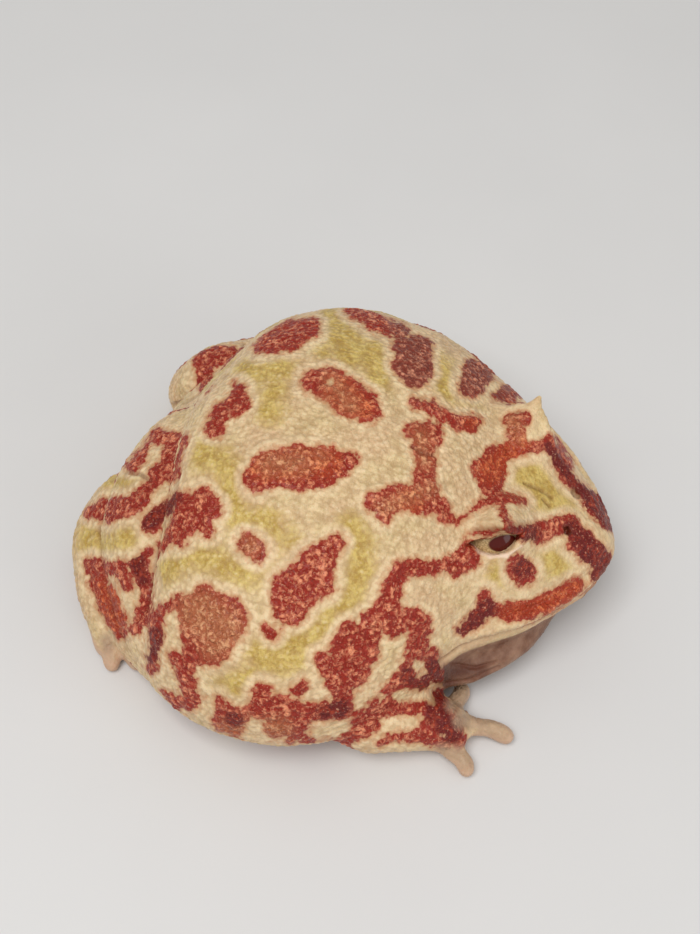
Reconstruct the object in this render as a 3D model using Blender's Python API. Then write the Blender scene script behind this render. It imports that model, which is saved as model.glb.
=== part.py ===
"""A horned frog at rest, life size: head, jaw, eyes, horns, torso, arms and legs.

The frog faces -Y, its left side is +X, and it lies on z = 0. Sizes are in millimetres
and are turned into metres when a mesh is made. The body is described as one smooth
field, which is below zero inside the frog. It is meshed once and parted by thin cuts.
"""

import bmesh
import bpy
import numpy as np
from mathutils import Matrix, Vector

# Driving sizes
MM = 0.001
GAP = 0.3
BODY_MIDDLE = (-7, 10, 14)
BODY_REACH = (56, 58, 46, 45, 39, 20)
BACK_FLAT = (36.2, 36.2, 33.7)
RUMP_FLAT = (3.5, 34.3, 46.4)
FLANK_FLAT = (-25, 41, 15)
SHOULDER_MIDDLE = (-2, -8, 20)
SHOULDER_REACH = (43, 42, 26, 24, 27, 18)
LIP_HEIGHT = 18.0
LIP_ARCH = 0.0022
JAW_BACK = -18.0
HEAD_WIDTH = 74.0
HEAD_LENGTH = 39.6
LIP_PLAN = 1.58
HEAD_RISE = 23.0
EYE_APART, EYE_BACK, EYE_UP = 12.3, -31.5, 33.0
EYE_RADIUS = 6.8
LID = 1.6
EYE_CORNER = 6.3
EYE_LIFT, EYE_SHIFT = 1.3, 1.0
UPPER_LID, LOWER_LID = 0.5, 3.9
HORN_TIP = (17.7, -33.7, 43.8)
HORN_ROOTS = (((13.4, -31.8, 38.8), 3.4), ((15.0, -25.6, 37.8), 1.9), ((12.6, -37.6, 35.8), 1.9))
HORN_TAPER, HORN_POINT = 0.4, 0.4
NOSTRIL = (4.9, -46.6, 31.0)
ORIGIN = (-6.46, 2.17)

# Meshing sizes
COARSE, FINE = 1.2, 0.6
LOW, HIGH = (-70, -63, -3), (60, 69, 58)
FINE_LOW, FINE_HIGH = (-24, -56, 26), (24, -22, 46)
SKIN_FACES = 15000
SOLVER = "MANIFOLD"
DIGIT_SPARE, LIMB_SPARE, HORN_CUT = 1.3, 2.2, 3.4
BLOCK_HALF = 80
WELD = 0.0005
NECK_HALF, NECK_BACK = 41.0, 15.5
FACES = {
    "torso": 3600, "head": 4000, "lower_jaw": 1300, "hand": 850, "toes": 560, "foot": 420, "shank": 420,
    "thigh": 420, "forearm": 320, "upper_arm": 240, "horn": 120,
}


def blend(a, b, k):
    """The union of two forms with a fillet of about k."""
    h = np.clip(0.5 + 0.5 * (b - a) / k, 0, 1)
    return b + (a - b) * h - k * h * (1 - h)


def keep_both(a, b, k):
    """What two forms share, its edge rounded by about k."""
    return -blend(-a, -b, k)


def carve(a, b, k):
    """Form a with form b taken out, its edge rounded by about k."""
    return -blend(-a, b, k)


def swell(p, middle, reach, plan=2.0, side=2.0):
    """A rounded mass. reach is its size to the left, right, front, back, up and down."""
    left, right, front, back, up, down = reach
    x, y, z = (p - np.array(middle)).T
    a = np.where(x > 0, left, right)
    b = np.where(y < 0, front, back)
    c = np.where(z > 0, up, down)
    x, y, z = abs(x) / a + 1e-9, abs(y) / b + 1e-9, abs(z) / c + 1e-9
    g = (x**plan + y**plan) ** (1 / plan)
    f = (g**side + z**side) ** (1 / side)
    across = (x / g) ** (2 * plan - 2) / a**2 + (y / g) ** (2 * plan - 2) / b**2
    slope = (g / f) ** (2 * side - 2) * across + (z / f) ** (2 * side - 2) / c**2
    return (f - 1) / np.sqrt(slope)


def plane(p, point, facing):
    facing = np.array(facing) / np.linalg.norm(facing)
    return (p - np.array(point)) @ facing


def curve(points, steps=4):
    """More points on a smooth curve through these, their last value with them."""
    q = np.array(points, float)
    q = np.vstack([2 * q[0] - q[1], q, 2 * q[-1] - q[-2]])
    found = []
    for a, b, c, d in zip(q[:-3], q[1:-2], q[2:-1], q[3:]):
        for t in np.arange(steps) / steps:
            bend = (2 * a - 5 * b + 4 * c - d) * t**2 + (3 * b - a - 3 * c + d) * t**3
            found.append(0.5 * (2 * b + (c - a) * t + bend))
    return np.array(found + [q[-2]])


def limb(p, points, k=1.5):
    """A tapered round tube through points (x, y, z, radius)."""
    points = curve(points)
    far = points[:, 3].max() + 12
    near = ((p > points[:, :3].min(0) - far) & (p < points[:, :3].max(0) + far)).all(1)
    d = np.full(len(p), 60.0)
    q = p[near]
    found = np.full(len(q), 60.0)
    for a, b in zip(points[:-1], points[1:]):
        ab = b[:3] - a[:3]
        t = np.clip((q - a[:3]) @ ab / (ab @ ab), 0, 1)
        e = np.linalg.norm(q - a[:3] - t[:, None] * ab, axis=1)
        found = blend(found, e - a[3] - t * (b[3] - a[3]), k)
    d[near] = found
    return d


# Limbs: (x, y, z, radius) along the middle of each
RIGHT_ARM = [(-42, -6, 14, 9), (-49.5, -14, 9, 6.8), (-47.2, -23, 7.4, 6.0), (-44.9, -31.5, 5.4, 4.4)]
RIGHT_PALM = [(-45.2, -30.5, 4.6, 4.0), (-45.4, -33.6, 4.0, 3.4)]
RIGHT_FINGERS = [
    [(-43.4, -32.8, 4.2, 2.6), (-42.9, -37.6, 3.3, 1.9), (-42.1, -41.8, 2.8, 1.7), (-42.6, -45.0, 1.9, 1.7)],
    [(-48.0, -32.2, 3.8, 2.7), (-50.0, -35.0, 3.0, 1.9), (-51.3, -37.3, 2.5, 1.7), (-52.6, -38.5, 1.9, 1.7)],
    [(-43.2, -31.4, 4.4, 2.6), (-39.2, -32.4, 3.8, 2.0), (-36.2, -33.0, 2.8, 1.8), (-34.6, -33.2, 2.1, 1.7)],
    [(-43.6, -29.4, 3.8, 2.6), (-40.4, -27.8, 3.0, 2.0), (-37.6, -27.6, 2.2, 1.9)],
]
LEFT_ARM = [(38, -6, 14, 9), (44.0, -13, 9, 6.8), (42.0, -19.5, 7.4, 6.0), (39.0, -26.5, 5.4, 4.4)]
LEFT_PALM = [(39.0, -26.5, 4.8, 4.2), (37.8, -30.2, 4.0, 3.6)]
LEFT_FINGERS = [
    [(38.2, -30, 4.2, 2.6), (37.2, -35, 3.4, 1.9), (36.4, -38.4, 2.5, 1.7), (36.2, -40.2, 1.9, 1.7)],
    [(40.4, -29, 4.0, 2.7), (42.6, -31.6, 3.2, 1.9), (43.8, -33.6, 2.4, 1.7), (44.2, -35.0, 1.9, 1.7)],
    [(36.4, -28, 4.4, 2.8), (33.6, -30.2, 3.4, 2.1), (31.4, -32.0, 2.2, 1.9)],
    [(36.6, -26, 3.8, 2.6), (33.8, -25.6, 2.8, 2.0), (31.2, -25.8, 2.1, 1.9)],
]
RIGHT_THIGH = [(-6, 38, 19.5, 14.3), (-25, 37.2, 18.4, 14.8), (-45, 30, 12, 10.3)]
RIGHT_SHANK = [(-47, 31, 8.2, 8), (-38, 42.0, 9.2, 7.6), (-28, 48.0, 11, 8), (-17, 51.5, 13, 8.4)]
RIGHT_FOOT = [(-17, 52.4, 10.5, 8.5), (-26, 53.8, 8.4, 7.1), (-36, 50.6, 6.2, 5.4), (-43.2, 46.8, 4.4, 3.6)]
RIGHT_TOES = [
    [(-43, 47.6, 4.2, 3.4), (-47.5, 45.4, 2.7, 2.1), (-51.4, 43.6, 1.9, 1.6)],
    [(-40, 47.0, 3.8, 3.4), (-45.0, 42.4, 2.8, 2.3), (-49.0, 38.4, 2.1, 2.0)],
    [(-41, 49.2, 3.6, 2.8), (-45.0, 48.4, 2.6, 2.1), (-47.8, 47.0, 2.0, 1.9)],
]
LEFT_THIGH = [(-4, 39, 14, 13), (14, 36, 13, 12), (32, 28, 11, 9)]
LEFT_SHANK = [(36, 29, 9, 8), (30.5, 37.5, 12, 8), (23.3, 46.4, 13, 8.2)]
LEFT_FOOT = [(23.0, 48.8, 9.5, 8.0), (31, 45, 7, 6.2), (37, 40, 5, 4.2)]
LEFT_TOES = [
    [(36, 41, 4.6, 3.6), (41.5, 36.0, 3.0, 2.4), (45.5, 31.4, 2.2, 2.1)],
    [(36, 42, 4.2, 3.4), (42.5, 40.0, 2.8, 2.3), (47.0, 37.6, 2.1, 2.0)],
    [(34, 45, 4.0, 3.2), (39.0, 46.0, 2.8, 2.2), (42.6, 45.8, 2.1, 2.0)],
]


def torso(p):
    d = blend(swell(p, BODY_MIDDLE, BODY_REACH), swell(p, SHOULDER_MIDDLE, SHOULDER_REACH), 9)
    d = keep_both(d, plane(p, BACK_FLAT, (0.62, 0.56, 0.55)), 12)
    d = keep_both(d, plane(p, RUMP_FLAT, (0.23, 0.86, 0.46)), 6)
    return keep_both(d, plane(p, FLANK_FLAT, (-0.21, 0.96, 0.17)), 5)


def skull(p):
    """The broad wedge of the upper head, with its flat forehead and hollow cheeks."""
    half = HEAD_WIDTH / 2
    reach = (half, half, HEAD_LENGTH, 30, HEAD_RISE, 9)
    d = swell(p, (0, JAW_BACK, LIP_HEIGHT), reach, LIP_PLAN, 2.5)
    d = keep_both(d, plane(p, (0, -38, 35.8), (0, -0.5, 0.866)), 4)
    for side in (-1, 1):
        d = keep_both(d, plane(p, (side * 15.2, -39.4, 36), (side * 0.587, -0.618, 0.523)), 5)
    return d


def upper_lip(p):
    """A soft roll round the edge of the upper jaw."""
    x, y, z = (p - np.array((0, JAW_BACK, 0))).T
    y = np.minimum(y, 0)
    half = HEAD_WIDTH / 2
    g = (abs(x / half + 1e-9) ** LIP_PLAN + abs(y / HEAD_LENGTH + 1e-9) ** LIP_PLAN) ** (1 / LIP_PLAN)
    out = (g - 1) * HEAD_LENGTH + 0.9
    up = z - mouth_height(p[:, 0]) - 1.5
    return np.hypot(out, up) - 1.5 + np.maximum(p[:, 1] + 23, 0) * 0.5


def mouth_height(x):
    return LIP_HEIGHT + LIP_ARCH * x**2


def jaw(p):
    mandible = swell(p, (0, JAW_BACK, LIP_HEIGHT - 2), (35.6, 35.6, HEAD_LENGTH - 3, 30, 8, 15), plan=1.57)
    throat = swell(p, (0, -18, 8.5), (41, 41, 33, 30, 9.5, 8.6))
    return blend(mandible, throat, 4)


def eye_middle(side):
    return np.array((side * EYE_APART, EYE_BACK, EYE_UP))


def lids(p, side):
    """The mound of the lids over one eye, with the fleshy horn on the upper one."""
    d = np.linalg.norm(p - eye_middle(side), axis=1) - EYE_RADIUS - LID
    x, y, z = HORN_TIP
    for (a, b, c), spread in HORN_ROOTS:
        middle = ((2 * x + a) / 3 * side, (2 * y + b) / 3, (2 * z + c) / 3, spread * HORN_TAPER)
        ridge = limb(p, [(side * a, b, c, spread), middle, (side * x, y, z, HORN_POINT)], 1.0)
        d = blend(d, ridge, 1.5)
    return d


def eye_opening(p, side):
    """The almond between the lids, as a prism out from the middle of the eye."""
    out = np.array((side * 0.72, -0.30, 0.62))
    out /= np.linalg.norm(out)
    along = np.array((side * -0.45, -0.87, 0.1))
    along -= out * (along @ out)
    along /= np.linalg.norm(along)
    up = np.cross(along, out) * side
    q = p - eye_middle(side)
    a, b, o = q @ along + EYE_SHIFT, q @ up - EYE_LIFT, q @ out
    bow = 1 - np.clip(a / EYE_CORNER, -1, 1) ** 2
    d = np.maximum(np.maximum(b - UPPER_LID * bow, -b - LOWER_LID * bow), abs(a) - EYE_CORNER) * 0.9
    return np.maximum(d, 1.0 - o)


def nostril(p, side):
    x, y, z = NOSTRIL
    return limb(p, [(side * x, y, z - 1.5, 0.9), (side * (x + 0.6), y - 0.4, z + 1.5, 0.9)], 0.5)


def digits(p, d, lists):
    for points in lists:
        d = blend(d, limb(p, points, 1.0), 1.4)
    return d


def frog(p):
    """The whole frog as one form."""
    d = torso(p)
    d = blend(d, limb(p, RIGHT_THIGH, 4), 2)
    d = blend(d, limb(p, LEFT_THIGH, 4), 2)
    d = blend(d, jaw(p), 4)
    head = blend(skull(p), upper_lip(p), 1.2)
    for side in (-1, 1):
        head = blend(head, lids(p, side), 3)
    d = blend(d, head, 2.5)
    for points in (RIGHT_SHANK, LEFT_SHANK, RIGHT_FOOT, LEFT_FOOT):
        d = blend(d, limb(p, points, 3), 0.9)
    for points in (RIGHT_ARM, LEFT_ARM):
        d = blend(d, limb(p, points, 3), 2)
    for palm, fingers in ((RIGHT_PALM, RIGHT_FINGERS), (LEFT_PALM, LEFT_FINGERS)):
        d = blend(d, digits(p, limb(p, palm, 1), fingers), 1.4)
    for toes in (RIGHT_TOES, LEFT_TOES):
        d = digits(p, d, toes)
    for side in (-1, 1):
        d = carve(d, eye_opening(p, side), 0.8)
        d = carve(d, nostril(p, side), 0.5)
    return keep_both(d, -p[:, 2], 0.8)


def crossings(values, axes):
    """For each cell of a grid, how many of its edges the surface crosses, and the sum of where."""
    total = np.zeros(tuple(np.array(values.shape) - 1) + (3,))
    count = np.zeros(total.shape[:3])
    places = np.stack(np.meshgrid(*axes, indexing="ij"), -1)
    for axis in range(3):
        others = [i for i in range(3) if i != axis]
        first, last = [slice(None)] * 3, [slice(None)] * 3
        first[axis], last[axis] = slice(None, -1), slice(1, None)
        a, b = values[tuple(first)], values[tuple(last)]
        crossed = (a < 0) != (b < 0)
        part = np.where(crossed, a / np.where(crossed, a - b, 1), 0)[..., None]
        place = places[tuple(first)] * (1 - part) + places[tuple(last)] * part
        for i in (0, 1):
            for j in (0, 1):
                view = [slice(None)] * 3
                view[others[0]] = slice(i, values.shape[others[0]] - 1 + i)
                view[others[1]] = slice(j, values.shape[others[1]] - 1 + j)
                here = crossed[tuple(view)]
                total += np.where(here[..., None], place[tuple(view)], 0)
                count += here
    return total, count


def steps(low, high, fine_low, fine_high):
    """Places along one axis, closer together over the head."""
    runs = ((low, fine_low, COARSE), (fine_low, fine_high, FINE), (fine_high, high, COARSE))
    found = [np.linspace(a, b, round((b - a) / step) + 1)[:-1] for a, b, step in runs]
    return np.concatenate([*found, [high]])


CORNERS = [(i, j, k) for i in (0, 1) for j in (0, 1) for k in (0, 1)]


def groups(corners):
    """How many groups, joined along a cell's edges, these of its corners form."""
    left, found = set(corners), 0
    while left:
        found += 1
        edge = [left.pop()]
        while edge:
            here = edge.pop()
            near = {c for c in left if sum(abs(a - b) for a, b in zip(c, here)) == 1}
            left -= near
            edge += near
    return found


def torn_codes():
    """Which patterns of inner corners would put two sheets of the surface in one cell."""
    torn = np.zeros(256, bool)
    for code in range(1, 255):
        inner = [c for n, c in enumerate(CORNERS) if code >> n & 1]
        outer = [c for n, c in enumerate(CORNERS) if not code >> n & 1]
        torn[code] = groups(inner) > 1 or groups(outer) > 1
    return torn


def mend(values):
    """Fills the smallest gaps, so that each cell holds one sheet of the surface."""
    torn = torn_codes()
    for _ in range(40):
        inside = values < 0
        nx, ny, nz = (n - 1 for n in values.shape)
        views = [(slice(i, nx + i), slice(j, ny + j), slice(k, nz + k)) for i, j, k in CORNERS]
        code = sum(inside[view].astype(np.uint8) << n for n, view in enumerate(views))
        cells = np.argwhere(torn[code])
        if not len(cells):
            break
        corners = cells[:, None, :] + np.array(CORNERS)
        found = values[tuple(corners.reshape(-1, 3).T)].reshape(-1, 8)
        nearest = np.where(found < 0, np.inf, found).argmin(1)
        values[tuple(corners[np.arange(len(cells)), nearest].T)] = -1e-3
    return values


def skin_of(field):
    """Points and quads of the surface where the field is zero."""
    axes = [steps(*ends) for ends in zip(LOW, HIGH, FINE_LOW, FINE_HIGH)]
    yy, zz = (a.ravel() for a in np.meshgrid(axes[1], axes[2], indexing="ij"))
    layers = [field(np.column_stack([np.full(yy.size, at), yy, zz])) for at in axes[0]]
    values = mend(np.array(layers).reshape([len(axis) for axis in axes]))
    total, count = crossings(values, axes)
    number = np.full(count.shape, -1)
    number[count > 0] = np.arange((count > 0).sum())
    points = total[count > 0] / count[count > 0][:, None]
    inside = values < 0
    quads = []
    for axis in range(3):
        b, c = (axis + 1) % 3, (axis + 2) % 3
        first, last = [slice(1, -1)] * 3, [slice(1, -1)] * 3
        first[axis], last[axis] = slice(None, -1), slice(1, None)
        first, last = inside[tuple(first)], inside[tuple(last)]
        where = np.argwhere(first != last)
        where[:, [b, c]] += 1
        corners = []
        for db, dc in ((0, 0), (1, 0), (1, 1), (0, 1)):
            cell_at = where.copy()
            cell_at[:, b] -= db
            cell_at[:, c] -= dc
            corners.append(number[tuple(cell_at.T)])
        found = np.column_stack(corners)
        outward = first[first != last]
        found[~outward] = found[~outward][:, ::-1]
        quads.append(found)
    for _ in range(2):
        points = settled(field, points)
    return points, np.vstack(quads)


def settled(field, points, step=0.05, most=0.4):
    """The points moved along the field's slope onto its surface."""
    slope = np.empty_like(points)
    for i, way in enumerate(np.eye(3) * step):
        slope[:, i] = (field(points + way) - field(points - way)) / (2 * step)
    move = -slope * (field(points) / np.maximum((slope**2).sum(1), 0.05))[:, None]
    size = np.linalg.norm(move, axis=1, keepdims=True)
    return points + move * np.minimum(1, most / np.maximum(size, 1e-9))


def placed(points):
    """Millimetres about the head's own middle to metres about the frog's origin."""
    return (np.array(points, float) - (ORIGIN[0], ORIGIN[1], 0)) * MM


def solid(name, points, faces):
    mesh = bpy.data.meshes.new(name)
    mesh.from_pydata(placed(points).tolist(), [], [list(map(int, face)) for face in faces])
    obj = bpy.data.objects.new(name, mesh)
    bpy.context.scene.collection.objects.link(obj)
    return obj


def applied(obj):
    """The object with its modifiers made real."""
    graph = bpy.context.evaluated_depsgraph_get()
    mesh = bpy.data.meshes.new_from_object(obj.evaluated_get(graph))
    obj.modifiers.clear()
    obj.data = mesh
    return obj


def keep_largest(obj):
    """Leaves an object the largest of its closed pieces."""
    shape = bmesh.new()
    shape.from_mesh(obj.data)
    left, pieces = set(shape.verts), []
    while left:
        found, edge = set(), [left.pop()]
        while edge:
            vert = edge.pop()
            found.add(vert)
            for link in vert.link_edges:
                other = link.other_vert(vert)
                if other in left:
                    left.remove(other)
                    edge.append(other)
        pieces.append(found)
    pieces.sort(key=len)
    bmesh.ops.delete(shape, geom=[v for piece in pieces[:-1] for v in piece], context="VERTS")
    bmesh.ops.remove_doubles(shape, verts=shape.verts, dist=WELD * MM)
    bmesh.ops.dissolve_degenerate(shape, edges=shape.edges, dist=WELD * MM)
    bmesh.ops.triangulate(shape, faces=shape.faces)
    shape.to_mesh(obj.data)
    shape.free()
    return obj


def cut(obj, tool, operation):
    modifier = obj.modifiers.new("cut", "BOOLEAN")
    modifier.operation = operation
    modifier.solver = SOLVER
    modifier.object = tool
    applied(obj)


def part_off(name, rest, envelope):
    """Parts off what lies inside an envelope, and leaves a thin gap to the rest."""
    inner, outer = envelope(0), envelope(GAP)
    piece = rest.copy()
    piece.data = rest.data.copy()
    piece.name = name
    bpy.context.scene.collection.objects.link(piece)
    cut(piece, inner, "INTERSECT")
    cut(rest, outer, "DIFFERENCE")
    for tool in (inner, outer):
        bpy.data.objects.remove(tool)
    keep_largest(piece)
    keep_largest(rest)
    return piece


def tube(points, spare, sides=12):
    """A closed tube with round ends, spare millimetres larger than the limb in it."""
    points = curve(points, 2)
    middle, radius = points[:, :3], points[:, 3] + spare
    ways = np.gradient(middle, axis=0)
    ways /= np.linalg.norm(ways, axis=1, keepdims=True)
    rings, lengths = [], []
    for end, sign in ((0, -1), (-1, 1)):
        for part in (0.9, 0.5):
            ring = middle[end] + ways[end] * sign * radius[end] * part
            rings.append((sign * (10 + part), ring, ways[end], radius[end] * (1 - part**2) ** 0.5))
    for i, (at, way, size) in enumerate(zip(middle, ways, radius)):
        rings.append((-10 + 20 * (i + 1) / (len(middle) + 1), at, way, size))
    rings.sort(key=lambda ring: ring[0])
    verts = []
    for _, at, way, size in rings:
        side = np.cross(way, (0, 0, 1))
        side /= np.linalg.norm(side)
        up = np.cross(side, way)
        for turn in np.arange(sides) * 2 * np.pi / sides:
            verts.append(at + size * (np.cos(turn) * side + np.sin(turn) * up))
    faces = []
    for ring in range(len(rings) - 1):
        for i in range(sides):
            a, b = ring * sides + i, ring * sides + (i + 1) % sides
            faces.append((a, b, b + sides, a + sides))
    first, last = len(verts), len(verts) + 1
    verts.append(middle[0] - ways[0] * radius[0])
    verts.append(middle[-1] + ways[-1] * radius[-1])
    top = (len(rings) - 1) * sides
    for i in range(sides):
        faces.append((first, (i + 1) % sides, i))
        faces.append((last, top + i, top + (i + 1) % sides))
    return facing_out(solid("envelope", verts, faces))


def facing_out(obj):
    shape = bmesh.new()
    shape.from_mesh(obj.data)
    bmesh.ops.recalc_face_normals(shape, faces=shape.faces)
    bmesh.ops.triangulate(shape, faces=shape.faces)
    shape.to_mesh(obj.data)
    shape.free()
    return obj


def made(name, shape, place):
    """An object of this name from a bmesh, moved to its place."""
    mesh = bpy.data.meshes.new(name)
    shape.to_mesh(mesh)
    shape.free()
    mesh.transform(place)
    obj = bpy.data.objects.new(name, mesh)
    bpy.context.scene.collection.objects.link(obj)
    return obj


def ball(name, middle, radius, levels):
    shape = bmesh.new()
    bmesh.ops.create_icosphere(shape, subdivisions=levels, radius=radius * MM)
    return made(name, shape, Matrix.Translation(placed(middle)))


def joined(tools):
    """Several closed tools made one."""
    first = tools[0]
    for other in tools[1:]:
        cut(first, other, "UNION")
        bpy.data.objects.remove(other)
    return first


def beyond(point, facing, extra):
    """A large block that fills all beyond a plane."""
    shape = bmesh.new()
    bmesh.ops.create_cube(shape, size=2 * BLOCK_HALF * MM)
    facing = Vector(facing).normalized()
    middle = Vector(placed(point)) + facing * (BLOCK_HALF + extra) * MM
    turn = facing.to_track_quat("Z", "Y").to_matrix().to_4x4()
    return made("block", shape, Matrix.Translation(middle) @ turn)


def limbs_envelope(lists, spare, *planes):
    """Tubes round these limbs, cut off at the planes."""

    def envelope(extra):
        tool = joined([tube(points, spare + extra) for points in lists])
        for point, facing in planes:
            block = beyond(point, facing, extra)
            cut(tool, block, "DIFFERENCE")
            bpy.data.objects.remove(block)
        return tool

    return envelope


def prism(outline, low, high):
    """A closed upright prism, its top and bottom heights given for each corner."""
    n = len(outline)
    verts = [(x, y, z) for (x, y), z in zip(outline, low)]
    verts += [(x, y, z) for (x, y), z in zip(outline, high)]
    faces = [(i, (i + 1) % n, (i + 1) % n + n, i + n) for i in range(n)]
    faces += [tuple(range(n))[::-1], tuple(range(n, 2 * n))]
    return facing_out(solid("envelope", verts, faces))


def head_envelope(extra):
    """Upright walls behind the jaws and across the nape, with rounded corners."""
    outline = []
    for turn in np.arange(40) * 2 * np.pi / 40:
        across, along = np.cos(turn), np.sin(turn)
        size = (abs(across) ** 3.5 + abs(along) ** 3.5) ** (-1 / 3.5)
        reach = NECK_BACK if along > 0 else 40
        outline.append((across * size * (NECK_HALF + extra), -34 + along * size * (reach + extra)))
    return prism(outline, [-8] * 40, [70] * 40)


def jaw_envelope(extra):
    """All below an arched sheet at the line of the mouth."""
    across = np.linspace(-48, 48, 17)
    outline = [(x, -66) for x in across] + [(x, -10) for x in across[::-1]]
    high = [mouth_height(x) - GAP / 2 + extra for x, _ in outline]
    faces_low = [-8] * len(outline)
    return sheet_block(outline, faces_low, high)


def sheet_block(outline, low, high):
    """A prism whose top and bottom are made of strips across, so that they can curve."""
    n = len(outline)
    verts = [(x, y, z) for (x, y), z in zip(outline, low)]
    verts += [(x, y, z) for (x, y), z in zip(outline, high)]
    faces = [(i, (i + 1) % n, (i + 1) % n + n, i + n) for i in range(n)]
    for i in range(n // 2 - 1):
        strip = (i, i + 1, n - 2 - i, n - 1 - i)
        faces += [strip[::-1], tuple(v + n for v in strip)]
    return facing_out(solid("envelope", verts, faces))


def thinned(obj, faces):
    """The object with about this many triangles."""
    thin = obj.modifiers.new("thin", "DECIMATE")
    thin.ratio = min(1, faces / sum(len(face.vertices) - 2 for face in obj.data.polygons))
    return keep_largest(applied(obj))


def paint(obj, colour, roughness):
    material = bpy.data.materials.new(obj.name)
    material.use_nodes = True
    shader = material.node_tree.nodes["Principled BSDF"]
    shader.inputs["Base Color"].default_value = colour + (1,)
    shader.inputs["Roughness"].default_value = roughness
    shader.inputs["Metallic"].default_value = 0
    obj.data.materials.clear()
    obj.data.materials.append(material)


for old in list(bpy.data.objects):
    bpy.data.objects.remove(old)

# The whole skin, thinned to the faces that its shape needs
rest = thinned(solid("torso", *skin_of(frog)), SKIN_FACES)

# Limbs, from their tips to the body, with the planes where a limb meets the next
pieces = []
LIMBS = (
    (
        "right", RIGHT_ARM, RIGHT_PALM, RIGHT_FINGERS, RIGHT_THIGH, RIGHT_SHANK, RIGHT_FOOT, RIGHT_TOES,
        ((-49.5, -14, 9), (0.22, 0.92, 0.33)), ((-28, 50.6, 9.2), (-0.15, -0.75, 0.65)),
        ((-27.6, 44.2, 12), (0.28, -0.93, 0.24)), ((-5, 41, 15), (1, 0, 0)),
    ),
    (
        "left", LEFT_ARM, LEFT_PALM, LEFT_FINGERS, LEFT_THIGH, LEFT_SHANK, LEFT_FOOT, LEFT_TOES,
        ((44, -13, 9), (-0.22, 0.92, 0.33)), ((31, 43.2, 8.8), (-0.35, -0.75, 0.56)),
        ((29.4, 34.9, 12.2), (-0.43, -0.86, 0.2)), ((-5, 41, 15), (-1, 0, 0)),
    ),
)
for side, arm, palm, fingers, thigh, shank, foot, toes, elbow, sole, calf, hips in LIMBS:
    for name, lists, spare, *planes in (
        ("hand", [palm, *fingers], DIGIT_SPARE),
        ("toes", toes, DIGIT_SPARE),
        ("foot", [foot], LIMB_SPARE, sole),
        ("forearm", [arm[1:]], LIMB_SPARE, elbow),
        ("upper_arm", [arm[:2]], LIMB_SPARE),
        ("shank", [shank], LIMB_SPARE, calf),
        ("thigh", [thigh], LIMB_SPARE, hips),
    ):
        pieces.append(part_off(name + "_" + side, rest, limbs_envelope(lists, spare, *planes)))

# Head, parted at the nape, then the jaw at the line of the mouth
head = part_off("head", rest, head_envelope)
lower_jaw = part_off("lower_jaw", head, jaw_envelope)

# Horns and eyes
for name, side in (("right", -1), ("left", 1)):
    tip = np.array((side * HORN_TIP[0], HORN_TIP[1], HORN_TIP[2]))
    pieces.append(part_off("horn_" + name, head, lambda extra: ball("envelope", tip, HORN_CUT + extra, 2)))
    socket = ball("socket", eye_middle(side), EYE_RADIUS + GAP, 3)
    cut(head, socket, "DIFFERENCE")
    bpy.data.objects.remove(socket)
    keep_largest(head)
    pieces.append(ball("eye_" + name, eye_middle(side), EYE_RADIUS, 3))

# The cuts leave many thin faces, which this takes out again
for obj in [rest, head, lower_jaw, *pieces]:
    if not obj.name.startswith("eye"):
        thinned(obj, FACES[obj.name.replace("_left", "").replace("_right", "")])

SKIN = (0.72, 0.55, 0.34)
for obj in [rest, head, *pieces]:
    paint(obj, (0.02, 0.004, 0.004) if obj.name.startswith("eye") else SKIN, 0.5)
paint(lower_jaw, (0.7, 0.48, 0.42), 0.45)
for obj in [rest, head, lower_jaw, *pieces]:
    obj.data.shade_smooth()
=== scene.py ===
"""The horned frog as a finished still model: one skin, horns, eyes, floor, light and camera.

Sizes are in millimetres about the middle of the head, and `placed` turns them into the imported
model's metres. The markings are laid on as the photo shows them, from where it was taken.
"""

import bmesh
import bpy
import numpy as np
from mathutils import Matrix, Vector


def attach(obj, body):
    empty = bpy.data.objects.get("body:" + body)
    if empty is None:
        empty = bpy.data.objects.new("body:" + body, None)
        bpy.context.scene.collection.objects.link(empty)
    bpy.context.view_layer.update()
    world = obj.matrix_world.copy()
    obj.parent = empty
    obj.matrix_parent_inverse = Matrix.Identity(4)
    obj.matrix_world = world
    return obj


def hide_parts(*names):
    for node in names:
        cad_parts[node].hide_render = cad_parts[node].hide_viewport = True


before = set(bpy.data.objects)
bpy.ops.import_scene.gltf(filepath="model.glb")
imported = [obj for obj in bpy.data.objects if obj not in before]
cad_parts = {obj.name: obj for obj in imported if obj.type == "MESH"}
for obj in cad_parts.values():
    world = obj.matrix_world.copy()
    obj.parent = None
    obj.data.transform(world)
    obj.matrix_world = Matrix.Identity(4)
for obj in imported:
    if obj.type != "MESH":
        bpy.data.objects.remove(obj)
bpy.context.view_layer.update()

# Camera
#
# It looks down on the frog from its right, as the photo does. Its place is in millimetres about
# the head, its angles are in degrees, and the picture is 700 by 934 pixels.

MM = 0.001
CAMERA_PLACE = np.array((-181.291, -40.122, 277.204))
HEADING, DIP, TILT = np.radians((13.62563, 53.36877, 3.18446))
PICTURE_MIDDLE = np.array((350, 467))
FOCAL_LENGTH, SENSOR = 53.04, 36
FOCUS = FOCAL_LENGTH / SENSOR * 2 * PICTURE_MIDDLE[1]
ORIGIN_SHIFT = np.array((-6.46, 2.17, 0))


def placed(points):
    """Millimetres about the head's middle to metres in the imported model's frame."""
    return (np.array(points, float) - ORIGIN_SHIFT) * MM


def linked(name, data):
    """A new object in the scene that holds this data."""
    obj = bpy.data.objects.new(name, data)
    bpy.context.scene.collection.objects.link(obj)
    return obj


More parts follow.
